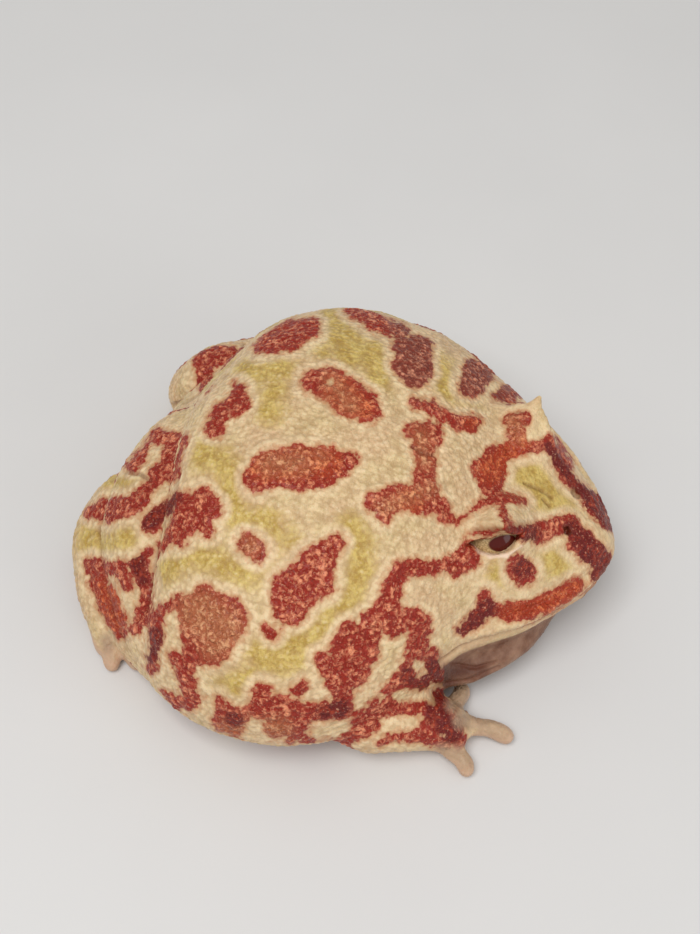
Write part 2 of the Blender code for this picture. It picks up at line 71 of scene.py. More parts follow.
CAMERA_LOOK = np.array((np.cos(DIP) * np.cos(HEADING), np.cos(DIP) * np.sin(HEADING), -np.sin(DIP)))
level = np.array((np.sin(HEADING), -np.cos(HEADING), 0))
plumb = np.cross(CAMERA_LOOK, level)
CAMERA_RIGHT = level * np.cos(TILT) - plumb * np.sin(TILT)
CAMERA_DOWN = plumb * np.cos(TILT) + level * np.sin(TILT)
lens = bpy.data.cameras.new("camera")
lens.lens = FOCAL_LENGTH
lens.sensor_width = SENSOR
camera = linked("camera", lens)
bpy.context.scene.camera = camera
turn = Matrix((CAMERA_RIGHT, -CAMERA_DOWN, -CAMERA_LOOK)).transposed().to_4x4()
camera.matrix_world = Matrix.Translation(placed(CAMERA_PLACE)) @ turn

# Skin
#
# One skin over body, head, jaw and limbs: soft, moist and granular, with flat warts. Its form is
# one field of swollen masses and tapered tubes, meshed once and then subdivided, with folds and
# granules raised on it. It replaces all the fleshy nodes.

BODY_MIDDLE = (-7, 10, 14)
BODY_REACH = (56, 58, 46, 45, 39, 20)
SHOULDER_MIDDLE = (-2, -8, 20)
SHOULDER_REACH = (43, 42, 26, 24, 27, 18)
# Flats on back, rump and flank: a point of each, the way it faces, and how round its edge is
BODY_FLATS = (
    ((36.2, 36.2, 33.7), (0.62, 0.56, 0.55), 12),
    ((3.5, 34.3, 46.4), (0.23, 0.86, 0.46), 6),
    ((-25, 41, 15), (-0.21, 0.96, 0.17), 5),
)
# A plan or side of 2 is an ellipse, and less is more pointed
HEAD_WIDTH = 74.0
HEAD_LENGTH = 39.6
HEAD_BEHIND, HEAD_RISE, HEAD_DROP, HEAD_SIDE = 30, 23.0, 9, 2.5
FOREHEAD_FLAT = ((0, -38, 35.8), (0, -0.5, 0.866), 4)
CHEEK_FLAT = ((15.2, -39.4, 36), (0.587, -0.618, 0.523), 5)
LIP_HEIGHT = 18.0
LIP_ARCH = 0.0022
LIP_PLAN = 1.58
LIP_RADIUS, LIP_INSET, LIP_BACK, LIP_FADE = 1.5, 0.9, -23, 0.5
JAW_BACK, JAW_DOWN, JAW_PLAN = -18.0, 2, 1.57
JAW_REACH = (35.6, 35.6, HEAD_LENGTH - 3, 30, 8, 15)
THROAT_MIDDLE, THROAT_REACH = (0, -18, 8.5), (41, 41, 33, 30, 9.5, 8.6)
EYE_APART, EYE_BACK, EYE_UP = 12.3, -31.5, 33.0
EYE_RADIUS = 6.8
LID = 1.6
EYE_CORNER = 6.3
EYE_LIFT, EYE_SHIFT = 1.3, 1.0
UPPER_LID, LOWER_LID = 0.5, 3.9
OPENING_OUT, OPENING_ALONG = (0.72, -0.30, 0.62), (-0.45, -0.87, 0.1)
OPENING_START, OPENING_EASE = 1.0, 0.9
HORN_TIP = (17.7, -33.7, 43.8)
HORN_ROOTS = (((13.4, -31.8, 38.8), 3.4), ((15.0, -25.6, 37.8), 1.9), ((12.6, -37.6, 35.8), 1.9))
HORN_TAPER, HORN_POINT = 0.4, 0.4
NOSTRIL_LOW, NOSTRIL_HIGH, NOSTRIL_RADIUS = (4.9, -46.6, 29.5), (5.5, -47.0, 32.5), 0.9
# How softly each form meets the rest
FILLET = {
    "shoulder": 9, "thigh": 2, "jaw": 4, "lip": 1.2, "lid": 3, "horn": 1.5, "head": 2.5,
    "shank": 0.9, "arm": 2, "hand": 1.4, "digit": 1.4, "eye": 0.8, "nostril": 0.5, "floor": 0.8,
}
# A limb is measured only NEARBY, and counts as FAR_OFF elsewhere
FAR_OFF, NEARBY = 60.0, 12
TINY = 1e-9


def blend(a, b, k):
    """The union of two forms with a fillet of about k."""
    h = np.clip(0.5 + 0.5 * (b - a) / k, 0, 1)
    return b + (a - b) * h - k * h * (1 - h)


def keep_both(a, b, k):
    """What two forms share, its edge rounded by about k."""
    return -blend(-a, -b, k)


def carve(a, b, k):
    """Form a with form b taken out, its edge rounded by about k."""
    return -blend(-a, b, k)


def swell(p, middle, reach, plan=2.0, side=2.0):
    """A rounded mass. reach is its size to the left, right, front, back, up and down."""
    left, right, front, back, up, down = reach
    x, y, z = (p - np.array(middle)).T
    a = np.where(x > 0, left, right)
    b = np.where(y < 0, front, back)
    c = np.where(z > 0, up, down)
    x, y, z = abs(x) / a + TINY, abs(y) / b + TINY, abs(z) / c + TINY
    g = (x**plan + y**plan) ** (1 / plan)
    f = (g**side + z**side) ** (1 / side)
    across = (x / g) ** (2 * plan - 2) / a**2 + (y / g) ** (2 * plan - 2) / b**2
    slope = (g / f) ** (2 * side - 2) * across + (z / f) ** (2 * side - 2) / c**2
    return (f - 1) / np.sqrt(slope)


def flattened(p, d, point, facing, rounding):
    """Form d cut off flat at a point, square to a direction, its edge rounded."""
    facing = np.array(facing) / np.linalg.norm(facing)
    return keep_both(d, (p - np.array(point)) @ facing, rounding)


def mirrored(left, side):
    """A place or direction of the left side, on the side wanted: 1 is left and -1 is right."""
    return np.array(left, float) * (side, 1, 1)


def curve(points, steps=4):
    """More points on a smooth curve through these, their last value with them."""
    q = np.array(points, float)
    q = np.vstack([2 * q[0] - q[1], q, 2 * q[-1] - q[-2]])
    found = []
    for a, b, c, d in zip(q[:-3], q[1:-2], q[2:-1], q[3:]):
        for t in np.arange(steps) / steps:
            bend = (2 * a - 5 * b + 4 * c - d) * t**2 + (3 * b - a - 3 * c + d) * t**3
            found.append(0.5 * (2 * b + (c - a) * t + bend))
    return np.array(found + [q[-2]])


def limb(p, points, k=1.5):
    """A tapered round tube through points (x, y, z, radius), its bends rounded by about k."""
    points = curve(points)
    far = points[:, 3].max() + NEARBY
    near = ((p > points[:, :3].min(0) - far) & (p < points[:, :3].max(0) + far)).all(1)
    d = np.full(len(p), FAR_OFF)
    q = p[near]
    found = np.full(len(q), FAR_OFF)
    for a, b in zip(points[:-1], points[1:]):
        ab = b[:3] - a[:3]
        t = np.clip((q - a[:3]) @ ab / (ab @ ab), 0, 1)
        e = np.linalg.norm(q - a[:3] - t[:, None] * ab, axis=1)
        found = blend(found, e - a[3] - t * (b[3] - a[3]), k)
    d[near] = found
    return d


# Limbs: (x, y, z, radius) along the middle of each
RIGHT_ARM = [(-42, -6, 14, 9), (-49.5, -14, 9, 6.8), (-47.2, -23, 7.4, 6.0), (-44.9, -31.5, 5.4, 4.4)]
RIGHT_PALM = [(-45.2, -30.5, 4.6, 4.0), (-45.4, -33.6, 4.0, 3.4)]
RIGHT_FINGERS = [
    [(-43.4, -32.8, 4.2, 2.6), (-42.9, -37.6, 3.3, 1.9), (-42.1, -41.8, 2.8, 1.7), (-42.6, -45.0, 1.9, 1.7)],
    [(-48.0, -32.2, 3.8, 2.7), (-50.0, -35.0, 3.0, 1.9), (-51.3, -37.3, 2.5, 1.7), (-52.6, -38.5, 1.9, 1.7)],
    [(-43.2, -31.4, 4.4, 2.6), (-39.2, -32.4, 3.8, 2.0), (-36.2, -33.0, 2.8, 1.8), (-34.6, -33.2, 2.1, 1.7)],
    [(-43.6, -29.4, 3.8, 2.6), (-40.4, -27.8, 3.0, 2.0), (-37.6, -27.6, 2.2, 1.9)],
]
LEFT_ARM = [(38, -6, 14, 9), (44.0, -13, 9, 6.8), (42.0, -19.5, 7.4, 6.0), (39.0, -26.5, 5.4, 4.4)]
LEFT_PALM = [(39.0, -26.5, 4.8, 4.2), (37.8, -30.2, 4.0, 3.6)]
LEFT_FINGERS = [
    [(38.2, -30, 4.2, 2.6), (37.2, -35, 3.4, 1.9), (36.4, -38.4, 2.5, 1.7), (36.2, -40.2, 1.9, 1.7)],
    [(40.4, -29, 4.0, 2.7), (42.6, -31.6, 3.2, 1.9), (43.8, -33.6, 2.4, 1.7), (44.2, -35.0, 1.9, 1.7)],
    [(36.4, -28, 4.4, 2.8), (33.6, -30.2, 3.4, 2.1), (31.4, -32.0, 2.2, 1.9)],
    [(36.6, -26, 3.8, 2.6), (33.8, -25.6, 2.8, 2.0), (31.2, -25.8, 2.1, 1.9)],
]
RIGHT_THIGH = [(-6, 38, 19.5, 14.3), (-25, 37.2, 18.4, 14.8), (-45, 30, 12, 10.3)]
RIGHT_SHANK = [(-47, 31, 8.2, 8), (-38, 42.0, 9.2, 7.6), (-28, 48.0, 11, 8), (-17, 51.5, 13, 8.4)]
RIGHT_FOOT = [(-17, 52.4, 10.5, 8.5), (-26, 53.8, 8.4, 7.1), (-36, 50.6, 6.2, 5.4), (-43.2, 46.8, 4.4, 3.6)]
RIGHT_TOES = [
    [(-43, 47.6, 4.2, 3.4), (-47.5, 45.4, 2.7, 2.1), (-51.4, 43.6, 1.9, 1.6)],
    [(-40, 47.0, 3.8, 3.4), (-45.0, 42.4, 2.8, 2.3), (-49.0, 38.4, 2.1, 2.0)],
    [(-41, 49.2, 3.6, 2.8), (-45.0, 48.4, 2.6, 2.1), (-47.8, 47.0, 2.0, 1.9)],
]
LEFT_THIGH = [(-4, 39, 14, 13), (14, 36, 13, 12), (32, 28, 11, 9)]
LEFT_SHANK = [(36, 29, 9, 8), (30.5, 37.5, 12, 8), (23.3, 46.4, 13, 8.2)]
LEFT_FOOT = [(23.0, 48.8, 9.5, 8.0), (31, 45, 7, 6.2), (37, 40, 5, 4.2)]
LEFT_TOES = [
    [(36, 41, 4.6, 3.6), (41.5, 36.0, 3.0, 2.4), (45.5, 31.4, 2.2, 2.1)],
    [(36, 42, 4.2, 3.4), (42.5, 40.0, 2.8, 2.3), (47.0, 37.6, 2.1, 2.0)],
    [(34, 45, 4.0, 3.2), (39.0, 46.0, 2.8, 2.2), (42.6, 45.8, 2.1, 2.0)],
]


def torso(p):
    """The squat body and shoulders, with flats on back, rump and flank."""
    shoulders = swell(p, SHOULDER_MIDDLE, SHOULDER_REACH)
    d = blend(swell(p, BODY_MIDDLE, BODY_REACH), shoulders, FILLET["shoulder"])
    for flat in BODY_FLATS:
        d = flattened(p, d, *flat)
    return d


def skull(p):
    """The broad wedge of the upper head, with its flat forehead and hollow cheeks."""
    half = HEAD_WIDTH / 2
    reach = (half, half, HEAD_LENGTH, HEAD_BEHIND, HEAD_RISE, HEAD_DROP)
    d = swell(p, (0, JAW_BACK, LIP_HEIGHT), reach, LIP_PLAN, HEAD_SIDE)
    d = flattened(p, d, *FOREHEAD_FLAT)
    point, facing, rounding = CHEEK_FLAT
    for side in (-1, 1):
        d = flattened(p, d, mirrored(point, side), mirrored(facing, side), rounding)
    return d


def mouth_height(x):
    """How high the arched line of the mouth is, across the head."""
    return LIP_HEIGHT + LIP_ARCH * x**2


def upper_lip(p):
    """A soft roll round the edge of the upper jaw, which fades out behind."""
    x, y, z = (p - np.array((0, JAW_BACK, 0))).T
    across = abs(x / (HEAD_WIDTH / 2) + TINY)
    ahead = abs(np.minimum(y, 0) / HEAD_LENGTH + TINY)
    g = (across**LIP_PLAN + ahead**LIP_PLAN) ** (1 / LIP_PLAN)
    out = (g - 1) * HEAD_LENGTH + LIP_INSET
    up = z - mouth_height(x) - LIP_RADIUS
    return np.hypot(out, up) - LIP_RADIUS + np.maximum(p[:, 1] - LIP_BACK, 0) * LIP_FADE


def jaw(p):
    """The lower jaw, with the swollen throat under it."""
    mandible = swell(p, (0, JAW_BACK, LIP_HEIGHT - JAW_DOWN), JAW_REACH, JAW_PLAN)
    return blend(mandible, swell(p, THROAT_MIDDLE, THROAT_REACH), FILLET["jaw"])


def eye_middle(side):
    """The middle of one eyeball."""
    return mirrored((EYE_APART, EYE_BACK, EYE_UP), side)


def lids(p, side):
    """The mound of the lids over one eye, with the fleshy horn on the upper one."""
    d = np.linalg.norm(p - eye_middle(side), axis=1) - EYE_RADIUS - LID
    x, y, z = HORN_TIP
    for (a, b, c), spread in HORN_ROOTS:
        middle = ((2 * x + a) / 3 * side, (2 * y + b) / 3, (2 * z + c) / 3, spread * HORN_TAPER)
        ridge = limb(p, [(side * a, b, c, spread), middle, (side * x, y, z, HORN_POINT)], 1.0)
        d = blend(d, ridge, FILLET["horn"])
    return d


def square_axes(out, along, side):
    """The directions out of one eye, along it and up, from the first two of the left eye."""
    out = mirrored(out, side)
    out /= np.linalg.norm(out)
    along = mirrored(along, side)
    along -= out * (along @ out)
    along /= np.linalg.norm(along)
    return out, along, np.cross(along, out) * side


def eye_opening(p, side):
    """The almond between the lids, as a prism out from the middle of the eye."""
    out, along, up = square_axes(OPENING_OUT, OPENING_ALONG, side)
    q = p - eye_middle(side)
    a, b = q @ along + EYE_SHIFT, q @ up - EYE_LIFT
    bow = 1 - np.clip(a / EYE_CORNER, -1, 1) ** 2
    d = np.maximum(np.maximum(b - UPPER_LID * bow, -b - LOWER_LID * bow), abs(a) - EYE_CORNER)
    return np.maximum(d * OPENING_EASE, OPENING_START - q @ out)


def nostril(p, side):
    """The short pit of one nostril."""
    ends = [(*mirrored(end, side), NOSTRIL_RADIUS) for end in (NOSTRIL_LOW, NOSTRIL_HIGH)]
    return limb(p, ends, 0.5)


def digits(p, d, lists):
    """Form d with fingers or toes joined to it."""
    for points in lists:
        d = blend(d, limb(p, points, 1.0), FILLET["digit"])
    return d


def frog(p):
    """The whole frog as one form."""
    d = torso(p)
    for points in (RIGHT_THIGH, LEFT_THIGH):
        d = blend(d, limb(p, points, 4), FILLET["thigh"])
    d = blend(d, jaw(p), FILLET["jaw"])
    head = blend(skull(p), upper_lip(p), FILLET["lip"])
    for side in (-1, 1):
        head = blend(head, lids(p, side), FILLET["lid"])
    d = blend(d, head, FILLET["head"])
    for points in (RIGHT_SHANK, LEFT_SHANK, RIGHT_FOOT, LEFT_FOOT):
        d = blend(d, limb(p, points, 3), FILLET["shank"])
    for points in (RIGHT_ARM, LEFT_ARM):
        d = blend(d, limb(p, points, 3), FILLET["arm"])
    for palm, fingers in ((RIGHT_PALM, RIGHT_FINGERS), (LEFT_PALM, LEFT_FINGERS)):
        d = blend(d, digits(p, limb(p, palm, 1), fingers), FILLET["hand"])
    for toes in (RIGHT_TOES, LEFT_TOES):
        d = digits(p, d, toes)
    for side in (-1, 1):
        d = carve(d, eye_opening(p, side), FILLET["eye"])
        d = carve(d, nostril(p, side), FILLET["nostril"])
    return keep_both(d, -p[:, 2], FILLET["floor"])


COARSE, FINE = 1.3, 0.65
LOW, HIGH = (-70, -63, -3), (60, 69, 58)
FINE_LOW, FINE_HIGH = (-24, -56, 27), (24, -22, 46)


def steps(low, high, fine_low, fine_high):
    """Places along one axis, closer together over the head."""
    runs = ((low, fine_low, COARSE), (fine_low, fine_high, FINE), (fine_high, high, COARSE))
    found = [np.linspace(a, b, round((b - a) / step) + 1)[:-1] for a, b, step in runs]
    return np.concatenate([*found, [high]])


def crossings(values, axes):
    """For each cell of a grid, the sum of where the surface crosses its edges, and how many."""
    total = np.zeros(tuple(np.array(values.shape) - 1) + (3,))
    count = np.zeros(total.shape[:3])
    places = np.stack(np.meshgrid(*axes, indexing="ij"), -1)
    for axis in range(3):
        others = [i for i in range(3) if i != axis]
        first, last = [slice(None)] * 3, [slice(None)] * 3
        first[axis], last[axis] = slice(None, -1), slice(1, None)
        a, b = values[tuple(first)], values[tuple(last)]
        crossed = (a < 0) != (b < 0)
        part = np.where(crossed, a / np.where(crossed, a - b, 1), 0)[..., None]
        place = places[tuple(first)] * (1 - part) + places[tuple(last)] * part
        for shift in np.ndindex(2, 2):
            view = [slice(None)] * 3
            for other, i in zip(others, shift):
                view[other] = slice(i, values.shape[other] - 1 + i)
            here = crossed[tuple(view)]
            total += np.where(here[..., None], place[tuple(view)], 0)
            count += here
    return total, count


def slope_of(field, points, step=0.05):
    """How fast the field grows in each direction at each point."""
    slope = np.empty_like(points)
    for i, way in enumerate(np.eye(3) * step):
        slope[:, i] = (field(points + way) - field(points - way)) / (2 * step)
    return slope


def settled(field, points, most=0.4):
    """The points moved along the field's slope onto its surface."""
    slope = slope_of(field, points)
    move = -slope * (field(points) / np.maximum((slope**2).sum(1), 0.05))[:, None]
    size = np.linalg.norm(move, axis=1, keepdims=True)
    return points + move * np.minimum(1, most / np.maximum(size, TINY))


def skin_of(field):
    """Points and quads of the surface where the field is zero."""
    axes = [steps(*ends) for ends in zip(LOW, HIGH, FINE_LOW, FINE_HIGH)]
    yy, zz = (a.ravel() for a in np.meshgrid(axes[1], axes[2], indexing="ij"))
    layers = [field(np.column_stack([np.full(yy.size, at), yy, zz])) for at in axes[0]]
    values = np.array(layers).reshape([len(axis) for axis in axes])
    total, count = crossings(values, axes)
    number = np.full(count.shape, -1)
    number[count > 0] = np.arange((count > 0).sum())
    points = total[count > 0] / count[count > 0][:, None]
    inside = values < 0
    quads = []
    for axis in range(3):
        b, c = (axis + 1) % 3, (axis + 2) % 3
        first, last = [slice(1, -1)] * 3, [slice(1, -1)] * 3
        first[axis], last[axis] = slice(None, -1), slice(1, None)
        first, last = inside[tuple(first)], inside[tuple(last)]
        where = np.argwhere(first != last)
        where[:, [b, c]] += 1
        corners = []
        for db, dc in ((0, 0), (1, 0), (1, 1), (0, 1)):
            cell_at = where.copy()
            cell_at[:, b] -= db
            cell_at[:, c] -= dc
            corners.append(number[tuple(cell_at.T)])
        found = np.column_stack(corners)
        outward = first[first != last]
        found[~outward] = found[~outward][:, ::-1]
        quads.append(found)
    return settled(field, points), np.vstack(quads)


def made(name, points, faces):
    """A smooth mesh object from points in metres."""
    mesh = bpy.data.meshes.new(name)
    mesh.from_pydata(points.tolist(), [], faces.tolist())
    mesh.shade_smooth()
    return linked(name, mesh)


def read(items, name):
    """The places ("co"), directions ("normal") or vectors of a mesh's items, a row for each."""
    found = np.empty(len(items) * 3, np.float32)
    items.foreach_get(name, found)
    return found.reshape(-1, 3).astype(float)


def write(mesh, points):
    """Moves the mesh's vertices to these places."""
    mesh.vertices.foreach_set("co", points.ravel())
    mesh.update()


def subdivided(obj):
    """The object with every face parted in four, rounded."""
    obj.modifiers.new("finer", "SUBSURF").levels = 1
    graph = bpy.context.evaluated_depsgraph_get()
    mesh = bpy.data.meshes.new_from_object(obj.evaluated_get(graph))
    obj.modifiers.clear()
    obj.data = mesh
    return obj


skin = made("skin", *skin_of(frog))
skin = subdivided(skin)
write(skin.data, settled(frog, read(skin.data.vertices, "co")))
skin = subdivided(skin)
points = read(skin.data.vertices, "co")
normals = read(skin.data.vertices, "normal")


def hashed(cell, seed):
    """A steady random value from 0 to 1 for each whole-numbered cell."""
    a, b, c = cell.astype(np.int64).T
    n = (a * 73856093) ^ (b * 19349663) ^ (c * 83492791) ^ (seed * 2654435761)
    n = (n ^ (n >> 13)) * 1274126177 & 0xFFFFFFFF
    return ((n ^ (n >> 16)) & 0xFFFF) / 65535


def cloud(p, size, seed):
    """Smooth noise from -1 to 1 whose lumps are about `size` millimetres across."""
    q = p / size
    cell = np.floor(q)
    t = q - cell
    t = t * t * (3 - 2 * t)
    total = np.zeros(len(p))
    for corner in np.ndindex(2, 2, 2):
        total += np.abs(1 - np.array(corner) - t).prod(1) * hashed(cell + corner, seed)
    return 2 * total - 1


def to_dot(p, apart, seed):
    """How far each point is from the nearest of dots strewn about `apart` millimetres apart."""
    q = p / apart
    cell = np.floor(q)
    nearest = np.full(len(p), FAR_OFF)
    for step in np.ndindex(3, 3, 3):
        at = cell + step - 1
        dot = at + 0.1 + 0.8 * np.column_stack([hashed(at, seed + n) for n in range(3)])
        nearest = np.minimum(nearest, np.linalg.norm(q - dot, axis=1))
    return nearest * apart


def domes(p, apart, half, seed):
    """1 at the tops of round domes strewn about `apart` millimetres apart, and 0 between them."""
    return np.clip(1 - (to_dot(p, apart, seed) / half) ** 2, 0, 1)


def share(values, start, end):
    """How far each value has come from start to end, from 0 to 1."""
    return np.clip((values - start) / (end - start), 0, 1)


def bell(values, half, middle=0.0):
    """1 at the middle value, falling away on both sides within about `half`."""
    return np.exp(-(((values - middle) / half) ** 2))


def seen_at(p):
    """Where each point falls in the photo, in pixels, and how many pixels a millimetre is there."""
    offset = p - CAMERA_PLACE
    scale = FOCUS / (offset @ CAMERA_LOOK)
    across_down = np.column_stack([offset @ CAMERA_RIGHT, offset @ CAMERA_DOWN])
    return PICTURE_MIDDLE + across_down * scale[:, None], scale


def strokes(at, named, k, most=40):
    """How many pixels each place in the photo is outside the nearest of these runs.

    A run goes through places (across, down, half width), and counts up to `most` pixels from it.
    """
    d = np.full(len(at), FAR_OFF)
    for runs in named.values():
        for run in runs:
            run = np.array(run + run[-1:], float)
            for a, b in zip(run[:-1], run[1:]):
                middle = (a + b)[:2] / 2
                reach = np.abs(b - a)[:2] / 2 + max(a[2], b[2]) + most
                near = (np.abs(at - middle) < reach).all(1)
                ab = (b - a)[:2]
                offset = at[near] - a[:2]
                t = np.clip(offset @ ab / max(ab @ ab, TINY), 0, 1)
                e = np.linalg.norm(offset - t[:, None] * ab, axis=1)
                d[near] = blend(d[near], e - a[2] - t * (b[2] - a[2]), k)
    return d


# Red patches, named by place: runs of (across, down, half width)
RED = {
    "far_strip": [[(347, 309, 4), (360, 313, 7), (374, 321, 9), (390, 327, 7), (402, 332, 5)]],
    "far_round": [[(403, 347, 10), (420, 349, 12)], [(412, 362, 19), (415, 370, 16)], [(398, 334, 4)]],
    "left_back": [[(258, 350, 5), (272, 342, 10), (290, 335, 14), (310, 328, 10)], [(290, 343, 8)]],
    "oval": [[(312, 381, 11), (330, 384, 15), (346, 397, 17), (366, 408, 14)]],
    "left_middle": [[(240, 389, 8), (237, 403, 11), (221, 411, 8), (214, 428, 8)]],
    "centre": [
        [(257, 481, 12), (272, 469, 19), (300, 468, 22), (325, 465, 20), (341, 463, 11), (353, 461, 6)],
    ],
    "right_band": [[(412, 402, 4), (430, 407, 5), (442, 415, 6), (457, 423, 7), (473, 424, 7)]],
    "nape": [
        [(412, 431, 9), (431, 433, 10)],
        [(424, 447, 13), (428, 462, 9), (424, 477, 8), (430, 489, 6)],
    ],
    "behind_eye": [[(374, 502, 10), (395, 500, 13), (425, 500, 13), (443, 508, 8)], [(384, 514, 8)]],
    "far_shoulder": [[(474, 371, 13), (472, 384, 12)], [(486, 376, 7)]],
    "behind_far_eye": [[(498, 396, 6), (511, 392, 8)]],
    "small": [[(248, 543, 10), (256, 551, 10)]],
    "leaf": [[(334, 543, 9), (318, 565, 18), (296, 590, 22), (290, 607, 17)], [(322, 583, 14)]],
    "tiny": [[(266, 629, 4), (273, 634, 5)]],
    "hip": [
        [(203, 496, 10), (208, 508, 11)],
        [(192, 505, 11), (186, 521, 13), (175, 534, 9), (163, 545, 4)],
    ],
    "hip_edge": [[(200, 519, 12), (208, 530, 6)], [(180, 542, 5)]],
    "round": [[(206, 615, 27), (221, 620, 26), (208, 639, 26)], [(200, 591, 7)]],
    "rump": [[(160, 437, 9), (177, 439, 8), (171, 453, 9), (166, 468, 10), (155, 475, 7)]],
    "rump_edge": [[(147, 444, 4), (141, 457, 6), (132, 466, 5)]],
    "knee_far": [[(232, 350, 5), (220, 356, 9), (204, 361, 10), (203, 378, 8), (203, 388, 4)]],
    "knee": [[(92, 511, 7), (107, 511, 11), (128, 507, 11), (143, 496, 8), (160, 483, 6), (170, 474, 5)]],
    "thigh_fold": [[(147, 524, 5), (154, 518, 8), (166, 508, 6), (177, 497, 4)], [(153, 527, 6)]],
    "foot": [[(92, 567, 9), (104, 569, 8)], [(98, 583, 10), (108, 604, 10), (117, 621, 9), (121, 633, 5)]],
    "foot_inner": [[(120, 566, 7), (125, 586, 6)]],
    "thigh": [[(148, 553, 4), (137, 566, 8), (143, 580, 8), (145, 600, 7), (143, 617, 8), (136, 629, 5)]],
    "thigh_low": [
        [(158, 616, 7), (156, 636, 7), (152, 655, 6), (153, 668, 5)],
        [(166, 607, 5), (180, 602, 7)],
    ],
    "flank_left": [
        [(174, 655, 6), (184, 668, 9), (187, 683, 8), (190, 701, 8)],
        [(166, 692, 4), (178, 704, 5)],
    ],
    "flank_middle": [[(217, 702, 6), (227, 712, 8), (241, 718, 8)], [(222, 722, 9), (235, 729, 8)]],
    "flank_low": [
        [(263, 692, 11), (264, 706, 13), (285, 709, 13), (306, 714, 11), (325, 712, 8), (341, 709, 9)],
    ],
    "flank_edge": [
        [(275, 728, 13), (297, 722, 11), (291, 740, 6)],
        [(298, 690, 7), (304, 684, 4)],
        [(309, 740, 6)],
    ],
    "belly_edge": [[(309, 749, 4), (328, 746, 6), (344, 741, 6), (358, 733, 7), (372, 725, 7)]],
    "arm_pit": [[(322, 660, 8), (333, 673, 11), (341, 690, 12), (341, 707, 9)]],
    "shoulder": [[(350, 630, 10), (346, 650, 15), (352, 671, 16)], [(366, 653, 13), (372, 622, 11)]],
    "neck": [
        [(400, 572, 9), (392, 590, 11), (386, 610, 12), (394, 626, 11)],
        [(412, 613, 9), (421, 627, 11)],
    ],
    "neck_low": [
        [(418, 645, 11), (408, 667, 9), (404, 682, 10), (388, 698, 9), (373, 712, 9), (359, 722, 7)],
    ],
    "corner": [[(432, 657, 8), (438, 673, 9)], [(422, 683, 7)], [(440, 694, 6), (447, 706, 7)]],
    "temple": [
        [(404, 570, 9), (418, 567, 8), (436, 567, 8), (452, 565, 10), (467, 557, 12), (469, 546, 6)],
    ],
    "forearm": [[(392, 708, 7), (420, 709, 8), (436, 720, 12), (452, 726, 12), (458, 741, 7)]],
    "forearm_low": [[(380, 744, 3), (394, 736, 5), (412, 736, 6), (432, 738, 8), (446, 744, 6)]],
    "far_horn": [[(511, 420, 7), (524, 418, 6)], [(515, 430, 8), (519, 445, 9), (507, 452, 6)]],
    "far_brow": [[(521, 448, 6), (536, 448, 5), (548, 442, 6), (557, 451, 7), (566, 462, 7)]],
    "crown": [[(494, 458, 11), (490, 472, 15), (492, 486, 10), (494, 497, 5)], [(481, 468, 9)]],
    "far_ridge": [
        [(549, 447, 4), (557, 463, 4), (567, 477, 4), (580, 488, 4), (593, 500, 8), (603, 512, 9)],
    ],
    "far_lip": [[(603, 512, 9), (609, 526, 5)]],
    "brow_line": [[(494, 499, 4), (481, 505, 3), (470, 512, 3), (457, 520, 4), (445, 517, 6)]],
    "lid_line": [
        [(500, 499, 3), (503, 512, 3), (509, 524, 3)],
        [(500, 498, 4), (514, 497, 3), (524, 501, 2)],
    ],
    "lid_rim": [[(469, 534, 2), (488, 533, 3), (508, 530, 3)]],
    "eye_front": [[(520, 534, 8), (538, 532, 10), (556, 528, 8), (570, 523, 7)]],
    "snout": [
        [(571, 527, 7), (582, 541, 10), (592, 553, 12), (601, 561, 10), (597, 575, 6)],
        [(571, 546, 4)],
    ],
    "cheek_spot": [[(519, 565, 11), (523, 573, 12)]],
    "cheek": [[(461, 631, 5), (475, 621, 8), (487, 608, 9), (484, 596, 6)]],
    "lip": [[(492, 607, 7), (508, 612, 8), (528, 611, 8), (548, 604, 8), (562, 595, 9), (578, 586, 6)]],
}
# Cream marks over the red
CREAM = {
    "shoulder_bar": [[(396, 650, 6), (387, 667, 7), (375, 685, 7), (360, 703, 8)]],
    "neck_spots": [[(419, 667, 7)], [(401, 697, 7), (418, 696, 5), (429, 692, 3)], [(381, 696, 3)]],
    "arm_stripe": [[(374, 735, 3), (392, 728, 4), (408, 722, 4), (421, 717, 3)]],
    "cheek": [
        [(443, 585, 11), (455, 592, 12), (440, 605, 13), (444, 624, 12)],
        [(424, 588, 10), (412, 600, 7)],
    ],
    "flank_spots": [
        [(277, 677, 8), (278, 687, 5)],
        [(316, 684, 9), (322, 694, 8)],
        [(320, 733, 8), (341, 727, 5)],
    ],
    "flank_bars": [
        [(206, 674, 8), (207, 691, 8), (210, 711, 7)],
        [(243, 660, 8), (244, 682, 8), (245, 702, 6)],
    ],
    "belly_spots": [[(258, 736, 7), (267, 742, 4)], [(297, 743, 4)]],
    "thigh_bars": [[(170, 624, 6), (173, 638, 6)], [(163, 656, 5), (168, 673, 8), (172, 684, 7)]],
    "thigh_spots": [
        [(157, 580, 4), (157, 600, 5)],
        [(145, 630, 4), (145, 650, 4)],
        [(134, 591, 4), (135, 603, 4)],
    ],
    "fold_bar": [[(155, 497, 5), (168, 488, 5), (178, 484, 3)], [(153, 458, 6)]],
    "oval_spot": [[(331, 380, 4)]],
}
